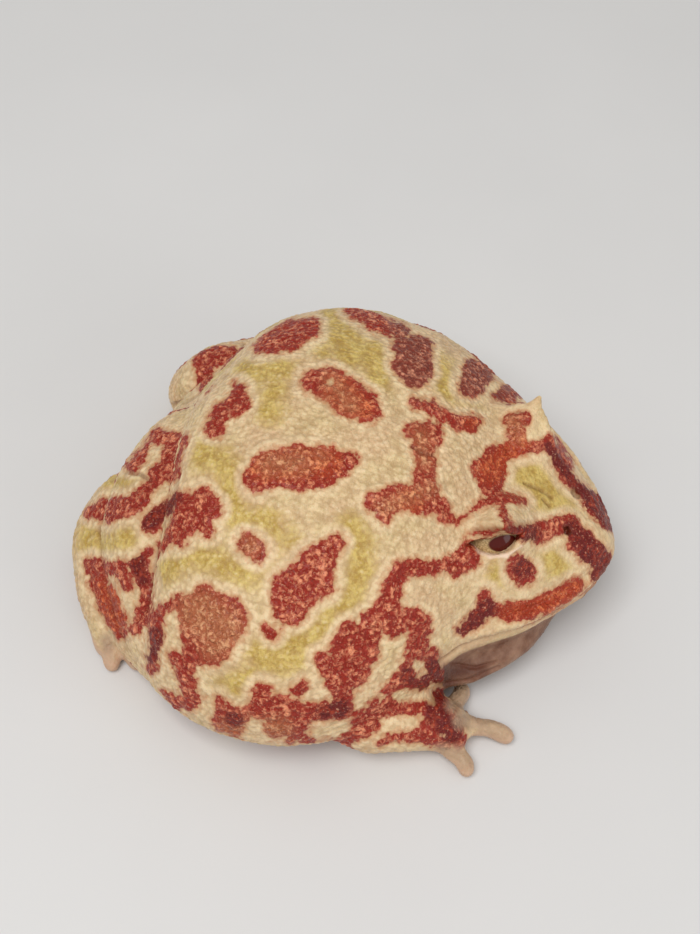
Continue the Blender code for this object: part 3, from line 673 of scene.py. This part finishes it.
# Yellow-green ground between the patches
GREEN = {
    "top": [[(312, 308, 7), (335, 315, 11), (345, 335, 13), (350, 352, 11), (372, 352, 9), (380, 373, 9)]],
    "top_left": [
        [(325, 352, 6)],
        [(240, 368, 7), (262, 372, 9), (285, 366, 7)],
        [(275, 388, 8), (268, 412, 7)],
    ],
    "hip": [[(190, 450, 8), (208, 455, 12), (225, 468, 9), (228, 490, 8), (235, 515, 9), (265, 524, 9)]],
    "middle": [[(270, 528, 9), (285, 538, 6)], [(256, 573, 8), (266, 560, 6)]],
    "low": [[(162, 575, 7), (172, 560, 8), (195, 556, 9), (225, 565, 8), (245, 575, 8)]],
    "flank": [
        [(254, 642, 7), (264, 656, 13), (290, 655, 15), (315, 640, 12), (335, 615, 9), (350, 595, 9)],
    ],
    "shoulder": [
        [(350, 595, 9), (361, 570, 9), (358, 546, 9), (353, 528, 8)],
        [(250, 672, 6), (230, 690, 7)],
    ],
    "forehead": [
        [(510, 500, 10), (530, 488, 17), (548, 488, 18), (566, 501, 14), (582, 515, 9)],
        [(527, 466, 12)],
    ],
    "leg": [[(90, 538, 11), (100, 546, 8)], [(122, 540, 9), (138, 536, 8)], [(114, 483, 7), (135, 478, 6)]],
    "cheek": [[(552, 561, 9), (562, 573, 7)], [(498, 574, 8)]],
    "far_side": [[(441, 366, 8), (441, 394, 8), (468, 407, 7)]],
}

HORN_PINCH, HORN_LONG, HORN_WIDE = 0.45, 5.0, 3.5


def drawn_in(p, side):
    """How far each point lies from a lid horn's own line, fading out down and away from its tip."""
    tip = mirrored(HORN_TIP, side)
    line = tip - mirrored(HORN_ROOTS[0][0], side)
    line /= np.linalg.norm(line)
    along = (p - tip) @ line
    off = p - tip - along[:, None] * line
    beside = np.linalg.norm(off, axis=1)
    return off * (share(along, -HORN_LONG, 0) * share(beside, HORN_WIDE, HORN_WIDE - 1))[:, None]


# Folds pressed in and ridges raised, as the photo shows them: (across, down, half width)
FOLDS = {
    "thigh": [
        [(180, 474, 0.5), (175, 492, 1), (167, 520, 1), (158, 550, 1), (152, 580, 1), (147, 610, 0.5)],
    ],
    "shank": [[(99, 528, 0.5), (102, 555, 1), (107, 585, 1), (115, 615, 1), (125, 642, 0.5)]],
    "far_knee": [[(244, 344, 0.5), (224, 376, 1), (204, 394, 1), (182, 402, 1), (168, 405, 0.5)]],
    "behind_knee": [[(120, 471, 0.5), (140, 474, 1), (150, 480, 0.5)]],
    "forehead": [[(525, 483, 0.3), (540, 489, 0.6), (553, 498, 0.3)], [(543, 499, 0.3), (550, 506, 0.5)]],
    "nape": [[(412, 446, 0.3), (422, 452, 0.5), (434, 455, 0.3)]],
    "throat": [
        [(446, 684, 0.5), (470, 680, 1), (500, 667, 0.5)],
        [(452, 664, 0.3), (476, 668, 0.8), (496, 662, 0.3)],
    ],
}
RIDGES = {
    "thigh": [[(187, 474, 1), (183, 492, 2), (175, 520, 2), (166, 548, 2), (158, 575, 1)]],
    "centre": [[(252, 457, 2), (266, 446, 2), (290, 441, 2), (318, 442, 2), (334, 447, 2)]],
    "neck": [[(411, 397, 2), (440, 412, 2), (460, 416, 2), (484, 421, 1)]],
    "behind_eye": [[(364, 492, 1), (385, 487, 2), (420, 486, 2), (440, 490, 2), (450, 503, 1)]],
    "shoulder": [
        [(330, 650, 2), (340, 630, 3), (350, 616, 2)],
        [(372, 606, 2), (384, 582, 3), (400, 561, 2)],
    ],
    "snout": [[(572, 516, 2), (590, 528, 3), (608, 541, 2)]],
    "far_snout": [[(556, 452, 2), (575, 476, 2), (598, 498, 2)]],
}

# Whether the photo shows a point is tried in cells of CELL pixels, those AROUND it, and half of
# them free of nearer skin is enough. The camera stands off some 300 mm, so `toward` is about 1
# where the skin faces it. GRAZING and SQUARE_ON are where two fades start and end.
CELL, AROUND = 3, (-4, -2, 0, 2, 4)
STAND_OFF = 300
GRAZING, SQUARE_ON = (0.012, 0.132), (0.15, 0.45)
WANDER = 2.4


def shown(at, depth, toward):
    """How far each point is in the photo's sight and not behind a nearer part of the frog."""
    across, down = np.floor(at / CELL).astype(int).T
    nearest = np.full((across.max() + AROUND[-1] + 1, down.max() + AROUND[-1] + 1), 1e9)
    np.minimum.at(nearest, (across, down), depth)
    room = 2 + 1 / np.maximum(toward, 0.1)
    free = [depth < nearest[across + i, down + j] + room for i in AROUND for j in AROUND]
    return np.clip(2 * np.mean(free, 0), 0, 1)


at, scale = seen_at(points)
toward = ((CAMERA_PLACE - points) * normals).sum(1) / STAND_OFF
facing = share(toward, *GRAZING) * shown(at, (points - CAMERA_PLACE) @ CAMERA_LOOK, toward)
square_on = share(toward, *SQUARE_ON) * facing
facing = np.clip(facing + WANDER * cloud(points, 5, 91) * facing * (1 - facing), 0, 1)
frayed = 0.5 * cloud(points, 4, 1) + 0.3 * cloud(points, 1.8, 2) + 0.1 * cloud(points, 0.9, 3)

# Where the photo doesn't show the skin, round patches are strewn instead. `red` and `green` say
# how many millimetres a point is outside the nearest patch.
PATCH_APART, PATCH_HALF = 12, 4.6
GREEN_FROM_RED = 3.6
MOST = 4
seen_red = np.maximum(strokes(at, RED, 5), -strokes(at, CREAM, 3)) / scale
hidden_red = to_dot(points + frayed[:, None], PATCH_APART, 71) - PATCH_HALF
hidden_red = np.clip(hidden_red + 1.5 * cloud(points, 9, 72), -MOST, MOST)
red = np.clip(seen_red, -MOST, MOST) * facing + hidden_red * (1 - facing) + frayed
green = strokes(at, GREEN, 8) / scale * facing + (GREEN_FROM_RED - hidden_red) * (1 - facing)
green += 1.5 * frayed

# Bare fingers and toes, the pale rim under the near eye with a painted highlight on it, and deep painted
# shade: (across, down, half width)
DIGITS = {
    "fingers": [[(462, 720, 9), (485, 724, 10), (506, 736, 10)], [(444, 752, 8), (466, 768, 10)]],
    "far_finger": [[(452, 706, 6), (462, 692, 6)]],
    "toe": [[(106, 642, 8), (108, 664, 7)]],
}
EYE_RIM = {
    "lower": [[(471, 544, 0.7), (478, 552, 1.1), (490, 557, 1.5), (506, 556, 1.4), (521, 546, 0.5)]],
}
SHADED = {
    "jaw_corner": [[(440, 664, 8), (448, 682, 9)], [(452, 672, 8), (480, 668, 6)]],
    "wrist": [[(440, 700, 9), (452, 712, 8), (462, 702, 5)]],
    "brow": [[(520, 530, 5), (508, 531, 2), (478, 531, 1)]],
}


def within(named, soft=1.2):
    """1 inside these runs, where the photo shows them, and 0 outside, over an edge `soft` wide."""
    return share(strokes(at, named, 3) / scale, soft / 2, -soft / 2) * facing


# Where each kind of skin starts and ends, in millimetres up, along the head or out of a form
MOUTH_FADE, MOUTH_SIDE = (-20, -24), 40
THROAT_TOP, THROAT_FADE, THROAT_SIDE = (-2.6, -3.4), (-16, -21), 39
BELLY_TOP = (4.5, 3.0)
ARM_EDGE, FINGER_EDGE, PALM_EDGE = (-0.75, 0.75), (0.8, 0), (0, 2)
RED_EDGE, SMOOTHER_HEAD, FLAT_SOLE = (0, -0.8), (-20, -30), (0, 1.5)

digit = within(DIGITS, 2)
rim = within(EYE_RIM, 0.4)
x, y, z = points.T
above_lip = z - mouth_height(x)
at_mouth = share(y, *MOUTH_FADE) * (np.abs(x) < MOUTH_SIDE)
throat = share(above_lip, *THROAT_TOP) * share(y - 2 * frayed, *THROAT_FADE)
throat *= np.abs(x) < THROAT_SIDE
belly = share(z - frayed, *BELLY_TOP)
arms = np.minimum(limb(points, RIGHT_ARM, 3), limb(points, LEFT_ARM, 3))
palms = np.minimum(limb(points, RIGHT_PALM, 1), limb(points, LEFT_PALM, 1))
fingers = digits(points, np.full(len(points), FAR_OFF), RIGHT_FINGERS + LEFT_FINGERS)
throat *= share(np.minimum(np.minimum(arms, palms), fingers) - jaw(points), *ARM_EDGE)
digit = np.maximum(digit, share(fingers, *FINGER_EDGE) * share(palms, *PALM_EDGE))
smooth = 1 - np.maximum(throat, belly)
in_red = share(red, *RED_EDGE)

# Relief raised on the skin and pressed into it, in millimetres
GRANULE_APART, GRANULE_HALF, GRANULE_HIGH, HIGHER_IN_RED = 1.25, 0.8, 0.17, 0.1
WART_APART, WART_HALF, WART_HIGH = 3.1, 1.2, 0.25
SWELLING_WIDE, SWELLING_HIGH = 8, 0.25
LUMP_WIDE, LUMP_HIGH = 3.5, 0.18
RED_HIGH, GROOVE_OUT, GROOVE_HALF, GROOVE_DEEP = 0.14, 0.2, 0.4, 0.05
FOLD_HALF, FOLD_DEEP, RIDGE_HALF, RIDGE_HIGH = 0.28, 0.45, 0.7, 0.35
MOUTH_HALF, MOUTH_DEEP = 0.4, 0.8
LOWER_LIP_UP, LOWER_LIP_HALF, LOWER_LIP_HIGH = -1.7, 0.9, 0.3
PIT_HALF = 0.3
DIGIT_SLIM, EYE_RIM_HIGH = 0.35, 0.2

fold = bell(np.maximum(strokes(at, FOLDS, 0.1) / scale, 0), FOLD_HALF) * square_on
ridge = bell(np.maximum(strokes(at, RIDGES, 0.1) / scale, 0), RIDGE_HALF) * square_on
mouth = bell(above_lip, MOUTH_HALF) * at_mouth
lower_lip = bell(above_lip, LOWER_LIP_HALF, LOWER_LIP_UP) * at_mouth
pit = bell(np.maximum(np.minimum(nostril(points, 1), nostril(points, -1)), 0), PIT_HALF)
bent = points + 0.4 * np.column_stack([cloud(points, 1.7, n) for n in (41, 42, 43)])
granules = 1.3 * (domes(bent, GRANULE_APART, GRANULE_HALF, 11) - 0.45) + 0.35 * cloud(bent, 0.7, 12)
granules *= 1 - 0.45 * share(y, *SMOOTHER_HEAD)
warts = domes(bent, WART_APART, WART_HALF, 31) * hashed(np.floor(bent / WART_APART), 33)

height = (GRANULE_HIGH + HIGHER_IN_RED * in_red) * granules * smooth
height += WART_HIGH * warts * smooth * (0.4 + 0.6 * in_red)
height += SWELLING_HIGH * cloud(points, SWELLING_WIDE, 51) + LUMP_HIGH * cloud(points, LUMP_WIDE, 52)
height += RED_HIGH * in_red - GROOVE_DEEP * bell(red, GROOVE_HALF, GROOVE_OUT) * smooth
height += LOWER_LIP_HIGH * lower_lip + RIDGE_HIGH * ridge + EYE_RIM_HIGH * rim
height -= MOUTH_DEEP * mouth + FOLD_DEEP * fold + DIGIT_SLIM * digit
height *= share(z, *FLAT_SOLE)
points = points + normals * height[:, None]
for side in (-1, 1):
    points -= HORN_PINCH * drawn_in(points, side)
points[:, 2] = np.maximum(points[:, 2], 0)
write(skin.data, placed(points))

# Deeper, softer and more orange reds among the patches: (across, down, half width)
DARK_RED = {
    "snout": [[(571, 527, 7), (582, 541, 11), (592, 553, 13), (601, 561, 11), (597, 575, 8)]],
    "eye_front": [[(516, 533, 8), (530, 534, 9)]],
    "cheek": [[(461, 631, 6), (475, 621, 9), (487, 608, 9)], [(523, 568, 10)]],
    "fold": [[(147, 524, 6), (154, 518, 9), (166, 508, 7), (177, 497, 5)], [(137, 562, 9), (143, 580, 5)]],
    "corner": [[(420, 690, 8), (436, 670, 12), (436, 715, 10), (450, 730, 12)], [(408, 676, 9)]],
    "far_ridge": [
        [(549, 447, 5), (557, 463, 5), (580, 488, 6), (593, 500, 9), (603, 512, 10), (609, 526, 6)],
    ],
    "low": [[(156, 636, 9), (152, 655, 8)], [(235, 718, 9)], [(325, 712, 8), (341, 709, 9)]],
}
SOFT_RED = {
    "round": [[(200, 612, 22), (222, 632, 22)], [(214, 648, 12)]],
    "small": [[(251, 545, 8)]],
    "centre": [[(270, 464, 10), (300, 462, 10)], [(320, 455, 6)]],
    "oval": [[(331, 381, 7), (350, 405, 8)], [(325, 402, 6)]],
    "nape": [[(420, 436, 8), (424, 460, 6)]],
    "behind_eye": [[(385, 508, 6), (430, 490, 5)]],
    "far_horn": [[(513, 422, 7), (518, 436, 5)]],
    "flank": [[(280, 728, 10), (228, 728, 7)]],
}
ORANGE_RED = {
    "foot": [[(106, 590, 12), (118, 622, 10)]],
    "snout_side": [[(508, 611, 8), (545, 604, 9), (577, 588, 9)], [(546, 467, 7)]],
    "oval": [[(340, 392, 16), (360, 408, 12)]],
    "centre": [[(262, 470, 12), (325, 462, 16)]],
    "head": [[(490, 472, 14), (520, 444, 10)], [(470, 424, 6)], [(410, 502, 14)]],
}
# The far side's reds are painted duller, as painted shade, from these places in the photo, and the lips are
# a band at the mouth
FAR_SHADE_DOWN, FAR_SHADE_ACROSS = (410, 390), (380, 400)
LIP_UP, LIP_HALF = -0.5, 1.7
far = share(at[:, 1], *FAR_SHADE_DOWN) * share(at[:, 0], *FAR_SHADE_ACROSS)


def stored(obj, name, values):
    """Keeps one number for each point of a mesh, for its material to read."""
    layer = obj.data.attributes.new(name, "FLOAT", "POINT")
    layer.data.foreach_set("value", np.asarray(values, np.float32))


for name, values in {
    "red": red,
    "green": green,
    "dark": within(DARK_RED),
    "soft": within(SOFT_RED, 4),
    "orange": within(ORANGE_RED, 2),
    "throat": throat,
    "belly": belly,
    # Painted shade in the mouth line, the folds and the nostril pits
    "crease_shade": np.clip(mouth + fold, 0, 1) + pit,
    "lip": bell(above_lip, LIP_HALF, LIP_UP) * at_mouth,
    # Painted shade: the far side's duller reds, and 0.4 of them on skin the camera doesn't face or see
    "far": far * facing + 0.4 * (1 - facing),
    "grain": granules,
    "digit": digit,
    "rim": rim,
    "shade": within(SHADED, 3),
}.items():
    stored(skin, name, values)


class Paint:
    """Adds shader nodes to one material and links them."""

    def __init__(self, name):
        self.material = bpy.data.materials.new(name)
        self.material.use_nodes = True
        self.tree = self.material.node_tree

    def put(self, socket, value):
        if isinstance(value, bpy.types.NodeSocket):
            self.tree.links.new(value, socket)
        else:
            socket.default_value = value

    def add(self, kind, output, inputs, **settings):
        node = self.tree.nodes.new("ShaderNode" + kind)
        for key, value in settings.items():
            setattr(node, key, value)
        for key, value in inputs.items():
            self.put(node.inputs[key], value)
        return node.outputs[output]

    def number(self, name):
        """A number stored on the mesh."""
        return self.add("Attribute", "Fac", {}, attribute_name=name)

    def sum(self, a, b):
        return self.add("Math", 0, {0: a, 1: b}, operation="ADD")

    def times(self, a, b):
        return self.add("Math", 0, {0: a, 1: b}, operation="MULTIPLY")

    def ramp(self, value, low, high, to_low=0.0, to_high=1.0):
        """to_low where the value is low, to_high where it is high, and even between."""
        ends = {"From Min": low, "From Max": high, "To Min": to_low, "To Max": to_high}
        return self.add("MapRange", 0, {"Value": value, **ends})

    def mix(self, factor, a, b):
        return self.add("Mix", 2, {0: factor, 6: a, 7: b}, data_type="RGBA")

    def noise(self, size, detail=2.0, rough=0.5, bend=0.0):
        """Noise whose lumps are about `size` millimetres across."""
        where = self.add("TexCoord", "Object", {})
        sizes = {"Vector": where, "Scale": 1 / (size * MM), "Detail": detail, "Roughness": rough}
        return self.add("TexNoise", 0, {**sizes, "Distortion": bend})

    def worms(self, size, width):
        """Short winding ridges about `size` millimetres apart, 1 along their tops and 0 between."""
        off = self.add("Math", 0, {0: self.noise(size, 1, 0.5, 0.8), 1: 0.5}, operation="SUBTRACT")
        off = self.add("Math", 0, {0: off}, operation="ABSOLUTE")
        return self.ramp(off, width, width * 0.3)

    def finished(self, looks):
        """The material, with these looks on its shader's sockets."""
        shader = self.tree.nodes["Principled BSDF"]
        for name, value in looks.items():
            self.put(shader.inputs[name], value)
        return self.material


def rgb(red, green, blue):
    """A colour given as a picture's 0 to 255 values, made linear for the shader."""
    return tuple(((v / 255 + 0.055) / 1.055) ** 2.4 for v in (red, green, blue)) + (1,)


# Colours of the ground
CREAM_TONES, ROSY_CREAM = (rgb(204, 175, 126), rgb(230, 203, 154)), rgb(216, 180, 140)
CREAM_SPECK, CREAM_FLECK = rgb(168, 130, 84), rgb(244, 224, 186)
YELLOW_TONES = rgb(184, 150, 70), rgb(214, 186, 108)
RIM_TONES = rgb(222, 190, 146), rgb(242, 216, 174)
# Painted shade between the granules and a painted highlight on their tops
GRAIN_FOOT_SHADE, GRAIN_TOP_HIGHLIGHT = rgb(160, 120, 78), rgb(246, 226, 188)
TAN_EDGE, SHADE, THROAT_SHADE = rgb(190, 120, 74), rgb(138, 92, 62), rgb(92, 50, 34)
# Colours of the red patches, each between its worms and on them; the pale one on them is partly the skin's
# own pink and partly a painted highlight
RED_TONES = rgb(152, 34, 12), rgb(238, 150, 110)
OTHER_REDS = {
    # The far reds are painted shade, duller on the far side
    "far": (rgb(132, 52, 34), rgb(224, 148, 116)),
    "orange": (rgb(166, 52, 16), rgb(234, 126, 74)),
    "soft": (rgb(176, 98, 60), rgb(230, 168, 122)),
    "dark": (rgb(108, 12, 3), rgb(172, 60, 30)),
}
# A dark speck, and a painted glint: tiny highlights dotted over the red
RED_SPECK, RED_PAINTED_GLINT = rgb(84, 22, 12), rgb(240, 186, 150)
# Colours of lips, digits, throat, belly, the rim of the eye with a painted highlight on its pale edge, and
# the painted shade in the mouth line, folds and nostril pits
LIP_TONES = rgb(222, 190, 150), rgb(200, 160, 122)
DIGIT_TONES = rgb(168, 138, 112), rgb(190, 160, 130)
THROAT_TONES = rgb(114, 72, 50), rgb(160, 122, 98)
BELLY, EYE_RIM_PALE, CREASE_SHADE = rgb(206, 170, 140), rgb(244, 214, 188), rgb(104, 52, 32)


def skin_material(name):
    paint = Paint(name)
    ragged = paint.ramp(paint.noise(1.3, 3), 0.3, 0.7, -0.5, 0.5)
    red = paint.number("red")
    edge = paint.sum(red, ragged)
    grain = paint.number("grain")
    worms = paint.worms(1.6, 0.075)
    blots = paint.noise(1.7, 3, 0.6)
    specks = paint.noise(0.7, 4, 0.65)
    dots = paint.noise(0.5, 2, 0.5, 0.5)
    mottle = paint.noise(3.2, 3, 0.55)
    wide = paint.noise(11, 2)
    patchy, softly = paint.ramp(mottle, 0.35, 0.65), paint.ramp(mottle, 0.3, 0.7)

    cream = paint.mix(patchy, *CREAM_TONES)
    cream = paint.mix(paint.ramp(wide, 0.42, 0.62, 0, 0.7), cream, ROSY_CREAM)
    cream = paint.mix(paint.ramp(specks, 0.53, 0.66, 0, 0.3), cream, CREAM_SPECK)
    cream = paint.mix(paint.ramp(specks, 0.46, 0.36, 0, 0.35), cream, CREAM_FLECK)
    yellow = paint.mix(paint.ramp(paint.sum(mottle, specks), 0.86, 1.14), *YELLOW_TONES)
    green = paint.ramp(paint.sum(paint.number("green"), paint.times(ragged, 1.3)), 2.8, -0.8)
    ground = paint.mix(paint.times(green, paint.ramp(red, 1.1, 2.6)), cream, yellow)
    rims = paint.mix(softly, *RIM_TONES)
    ground = paint.mix(paint.ramp(red, 2.4, 1.2, 0, 0.7), ground, rims)
    # Painted shade in the hollows between granules, and a painted highlight on their tops
    ground = paint.mix(paint.ramp(grain, 0.0, -0.6, 0, 0.33), ground, GRAIN_FOOT_SHADE)
    ground = paint.mix(paint.ramp(grain, 0.3, 0.9, 0, 0.35), ground, GRAIN_TOP_HIGHLIGHT)
    ground = paint.mix(paint.ramp(edge, 1.0, 0.25, 0, 0.6), ground, TAN_EDGE)
    ground = paint.mix(paint.number("shade"), ground, SHADE)

    low, high = RED_TONES
    for kind, (kind_low, kind_high) in OTHER_REDS.items():
        low = paint.mix(paint.number(kind), low, kind_low)
        high = paint.mix(paint.number(kind), high, kind_high)
    # Paler on worms, blots and granule tops, partly the skin's own pink and partly a painted highlight, and
    # on mottles
    pale = paint.sum(paint.times(worms, 0.35), paint.ramp(blots, 0.46, 0.62, 0, 0.55))
    pale = paint.sum(pale, paint.ramp(grain, -0.1, 0.6, 0, 0.5))
    pale = paint.sum(pale, paint.ramp(mottle, 0.48, 0.65, 0, 0.25))
    pale = paint.times(paint.ramp(pale, 0.35, 1.15), paint.ramp(edge, -0.1, -1.0, 0.3, 1.0))
    blood = paint.mix(pale, low, high)
    speck = paint.mix(0.5, low, RED_SPECK)
    blood = paint.mix(paint.ramp(dots, 0.56, 0.64, 0, 0.6), blood, speck)
    # Painted glints: tiny pale highlights dotted over the red
    blood = paint.mix(paint.ramp(dots, 0.37, 0.3, 0, 0.45), blood, RED_PAINTED_GLINT)
    colour = paint.mix(paint.ramp(edge, 0.2, -0.2), ground, blood)

    throat = paint.number("throat")
    for amount, tint in (
        (paint.times(paint.number("lip"), 0.7), paint.mix(patchy, *LIP_TONES)),
        (paint.times(paint.number("digit"), 0.9), paint.mix(patchy, *DIGIT_TONES)),
        (throat, paint.mix(softly, *THROAT_TONES)),
        (paint.times(paint.number("shade"), throat), THROAT_SHADE),
        (paint.number("belly"), BELLY),
        # The pale rim under the eye, its own pale edge with a painted highlight on it
        (paint.times(paint.number("rim"), 0.9), EYE_RIM_PALE),
        # Painted shade darkens the mouth line, the folds and the nostril pits
        (paint.times(paint.number("crease_shade"), 0.45), CREASE_SHADE),
    ):
        colour = paint.mix(amount, colour, tint)

    relief = paint.times(worms, paint.ramp(red, 0.2, -0.6, 0.0, 0.5))
    relief = paint.sum(relief, paint.sum(paint.times(specks, 0.9), blots))
    bump = paint.add("Bump", 0, {"Height": relief, "Strength": 0.9, "Distance": 0.0004})
    looks = {
        "Base Color": colour,
        "Roughness": paint.ramp(specks, 0.3, 0.7, 0.34, 0.52),
        "Specular IOR Level": 0.3,
        "Coat Weight": 0.12,
        "Coat Roughness": 0.12,
        "Subsurface Weight": 0.08,
        "Subsurface Radius": (0.9, 0.35, 0.2),
        "Subsurface Scale": 0.0015,
        "Normal": bump,
    }
    return paint.finished(looks)


SKIN_NODES = ["torso", "head", "lower_jaw"] + [
    f"{part}_{side}"
    for part in ("upper_arm", "forearm", "hand", "thigh", "shank", "foot", "toes")
    for side in ("left", "right")
]
skin.data.materials.append(skin_material("skin"))
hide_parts(*SKIN_NODES)
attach(skin, "root")

# Horns
#
# The soft pointed tip of each upper lid: a fleshy cone, coloured and grained as the head is.
# Each is the part of the skin's own surface round the tip, taken off the skin as one piece.

HORN_CUT = 3.4
SIDES = (("right", -1), ("left", 1))


def taken_off(name, middle, radius):
    """The skin's faces inside a ball, as an object of their own, facing as they did on the skin."""
    middle = Vector(placed(middle))
    shapes = [bmesh.new(), bmesh.new()]
    for shape, is_horn in zip(shapes, (True, False)):
        shape.from_mesh(skin.data)
        drop = [
            face
            for face in shape.faces
            if ((face.calc_center_median() - middle).length < radius * MM) != is_horn
        ]
        bmesh.ops.delete(shape, geom=drop, context="FACES")
    mesh = bpy.data.meshes.new(name)
    for shape, cut in zip(shapes, (mesh, skin.data)):
        shape.to_mesh(cut)
        shape.free()
        whole = read(cut.attributes["whole"].data, "vector")
        cut.normals_split_custom_set_from_vertices(whole.tolist())
    return linked(name, mesh)


layer = skin.data.attributes.new("whole", "FLOAT_VECTOR", "POINT")
layer.data.foreach_set("vector", read(skin.data.vertices, "normal").ravel())
for name, side in SIDES:
    horn = taken_off("lid_horn_" + name, mirrored(HORN_TIP, side), HORN_CUT)
    horn.data.materials.append(skin.data.materials[0])
    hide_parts("horn_" + name)
    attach(horn, "root")

# Eyes
#
# Wet round eyeballs under half-closed lids: a dark maroon pupil, wide across, in an olive-tan
# iris with fine lines, under a clear bright cornea. Each replaces one eye node.

EYE_LOOK, EYE_ALONG = (0.71, -0.44, 0.56), (-0.47, -0.88, 0.0)
EYE_ROOM = 0.25
CORNEA_START, CORNEA_HIGH = 0.75, 0.25
PUPIL_WIDE, PUPIL_HIGH = 0.48, 0.28
BACK_OF_EYE = 9
IRIS_TONES = rgb(156, 128, 86), rgb(212, 186, 138)
PUPIL, IRIS_EDGE = rgb(82, 22, 16), rgb(70, 36, 28)


def eye_material(name):
    paint = Paint(name)
    iris = paint.mix(paint.ramp(paint.noise(0.35, 3), 0.35, 0.65), *IRIS_TONES)
    colour = paint.mix(paint.ramp(paint.number("pupil"), 1.08, 0.92), iris, PUPIL)
    colour = paint.mix(paint.ramp(paint.number("pupil"), 2.2, 2.6), colour, IRIS_EDGE)
    return paint.finished({"Base Color": colour, "Roughness": 0.12, "Specular IOR Level": 0.3})


eye_skin = eye_material("eye")
for name, side in SIDES:
    shape = bmesh.new()
    bmesh.ops.create_icosphere(shape, subdivisions=5, radius=1)
    mesh = bpy.data.meshes.new("eyeball_" + name)
    shape.to_mesh(mesh)
    shape.free()
    unit = read(mesh.vertices, "co")
    out, along, up = square_axes(EYE_LOOK, EYE_ALONG, side)
    front = unit @ out
    radius = EYE_RADIUS - EYE_ROOM + CORNEA_HIGH * share(front, CORNEA_START, 1) ** 2
    write(mesh, placed(eye_middle(side) + unit * radius[:, None]))
    mesh.shade_smooth()
    eye = linked("eyeball_" + name, mesh)
    spot = np.hypot((unit @ along) / PUPIL_WIDE, (unit @ up) / PUPIL_HIGH)
    stored(eye, "pupil", np.where(front > 0, spot, BACK_OF_EYE))
    eye.data.materials.append(eye_skin)
    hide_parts("eye_" + name)
    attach(eye, "root")

# Floor
#
# A wide pale floor, not part of the frog, that it rests on. It is plain studio card, laid flat
# in one piece, with a faint unevenness in its tint.

FLOOR_HALF = 2.0
CARD_TONES = rgb(214, 213, 212), rgb(220, 219, 218)
corners = [(-1, -1, 0), (1, -1, 0), (1, 1, 0), (-1, 1, 0)]
floor = made("floor", FLOOR_HALF * np.array(corners, float), np.array([(0, 1, 2, 3)]))
card = Paint("card")
tint = card.mix(card.noise(60, 3), *CARD_TONES)
floor.data.materials.append(card.finished({"Base Color": tint, "Roughness": 0.7}))

# Light
#
# Soft studio light: a large panel high over the frog's right side, a weaker one lower in front of
# its snout, and an even pale world around. Places are in metres and powers in watts.

world = bpy.data.worlds.new("studio")
bpy.context.scene.world = world
world.use_nodes = True
sky = world.node_tree.nodes["Background"].inputs
sky["Color"].default_value = (1, 0.99, 0.97, 1)
sky["Strength"].default_value = 0.5
for name, place, size, power in (
    ("key", (-0.35, 0.12, 0.82), 0.5, 4.35),
    ("fill", (-0.3, -0.85, 0.4), 0.5, 1.6),
):
    panel = bpy.data.lights.new(name, "AREA")
    panel.size = size
    panel.energy = power
    aim = (-Vector(place)).to_track_quat("-Z", "Y").to_matrix().to_4x4()
    linked(name, panel).matrix_world = Matrix.Translation(place) @ aim

bpy.context.scene.view_settings.view_transform = "Standard"
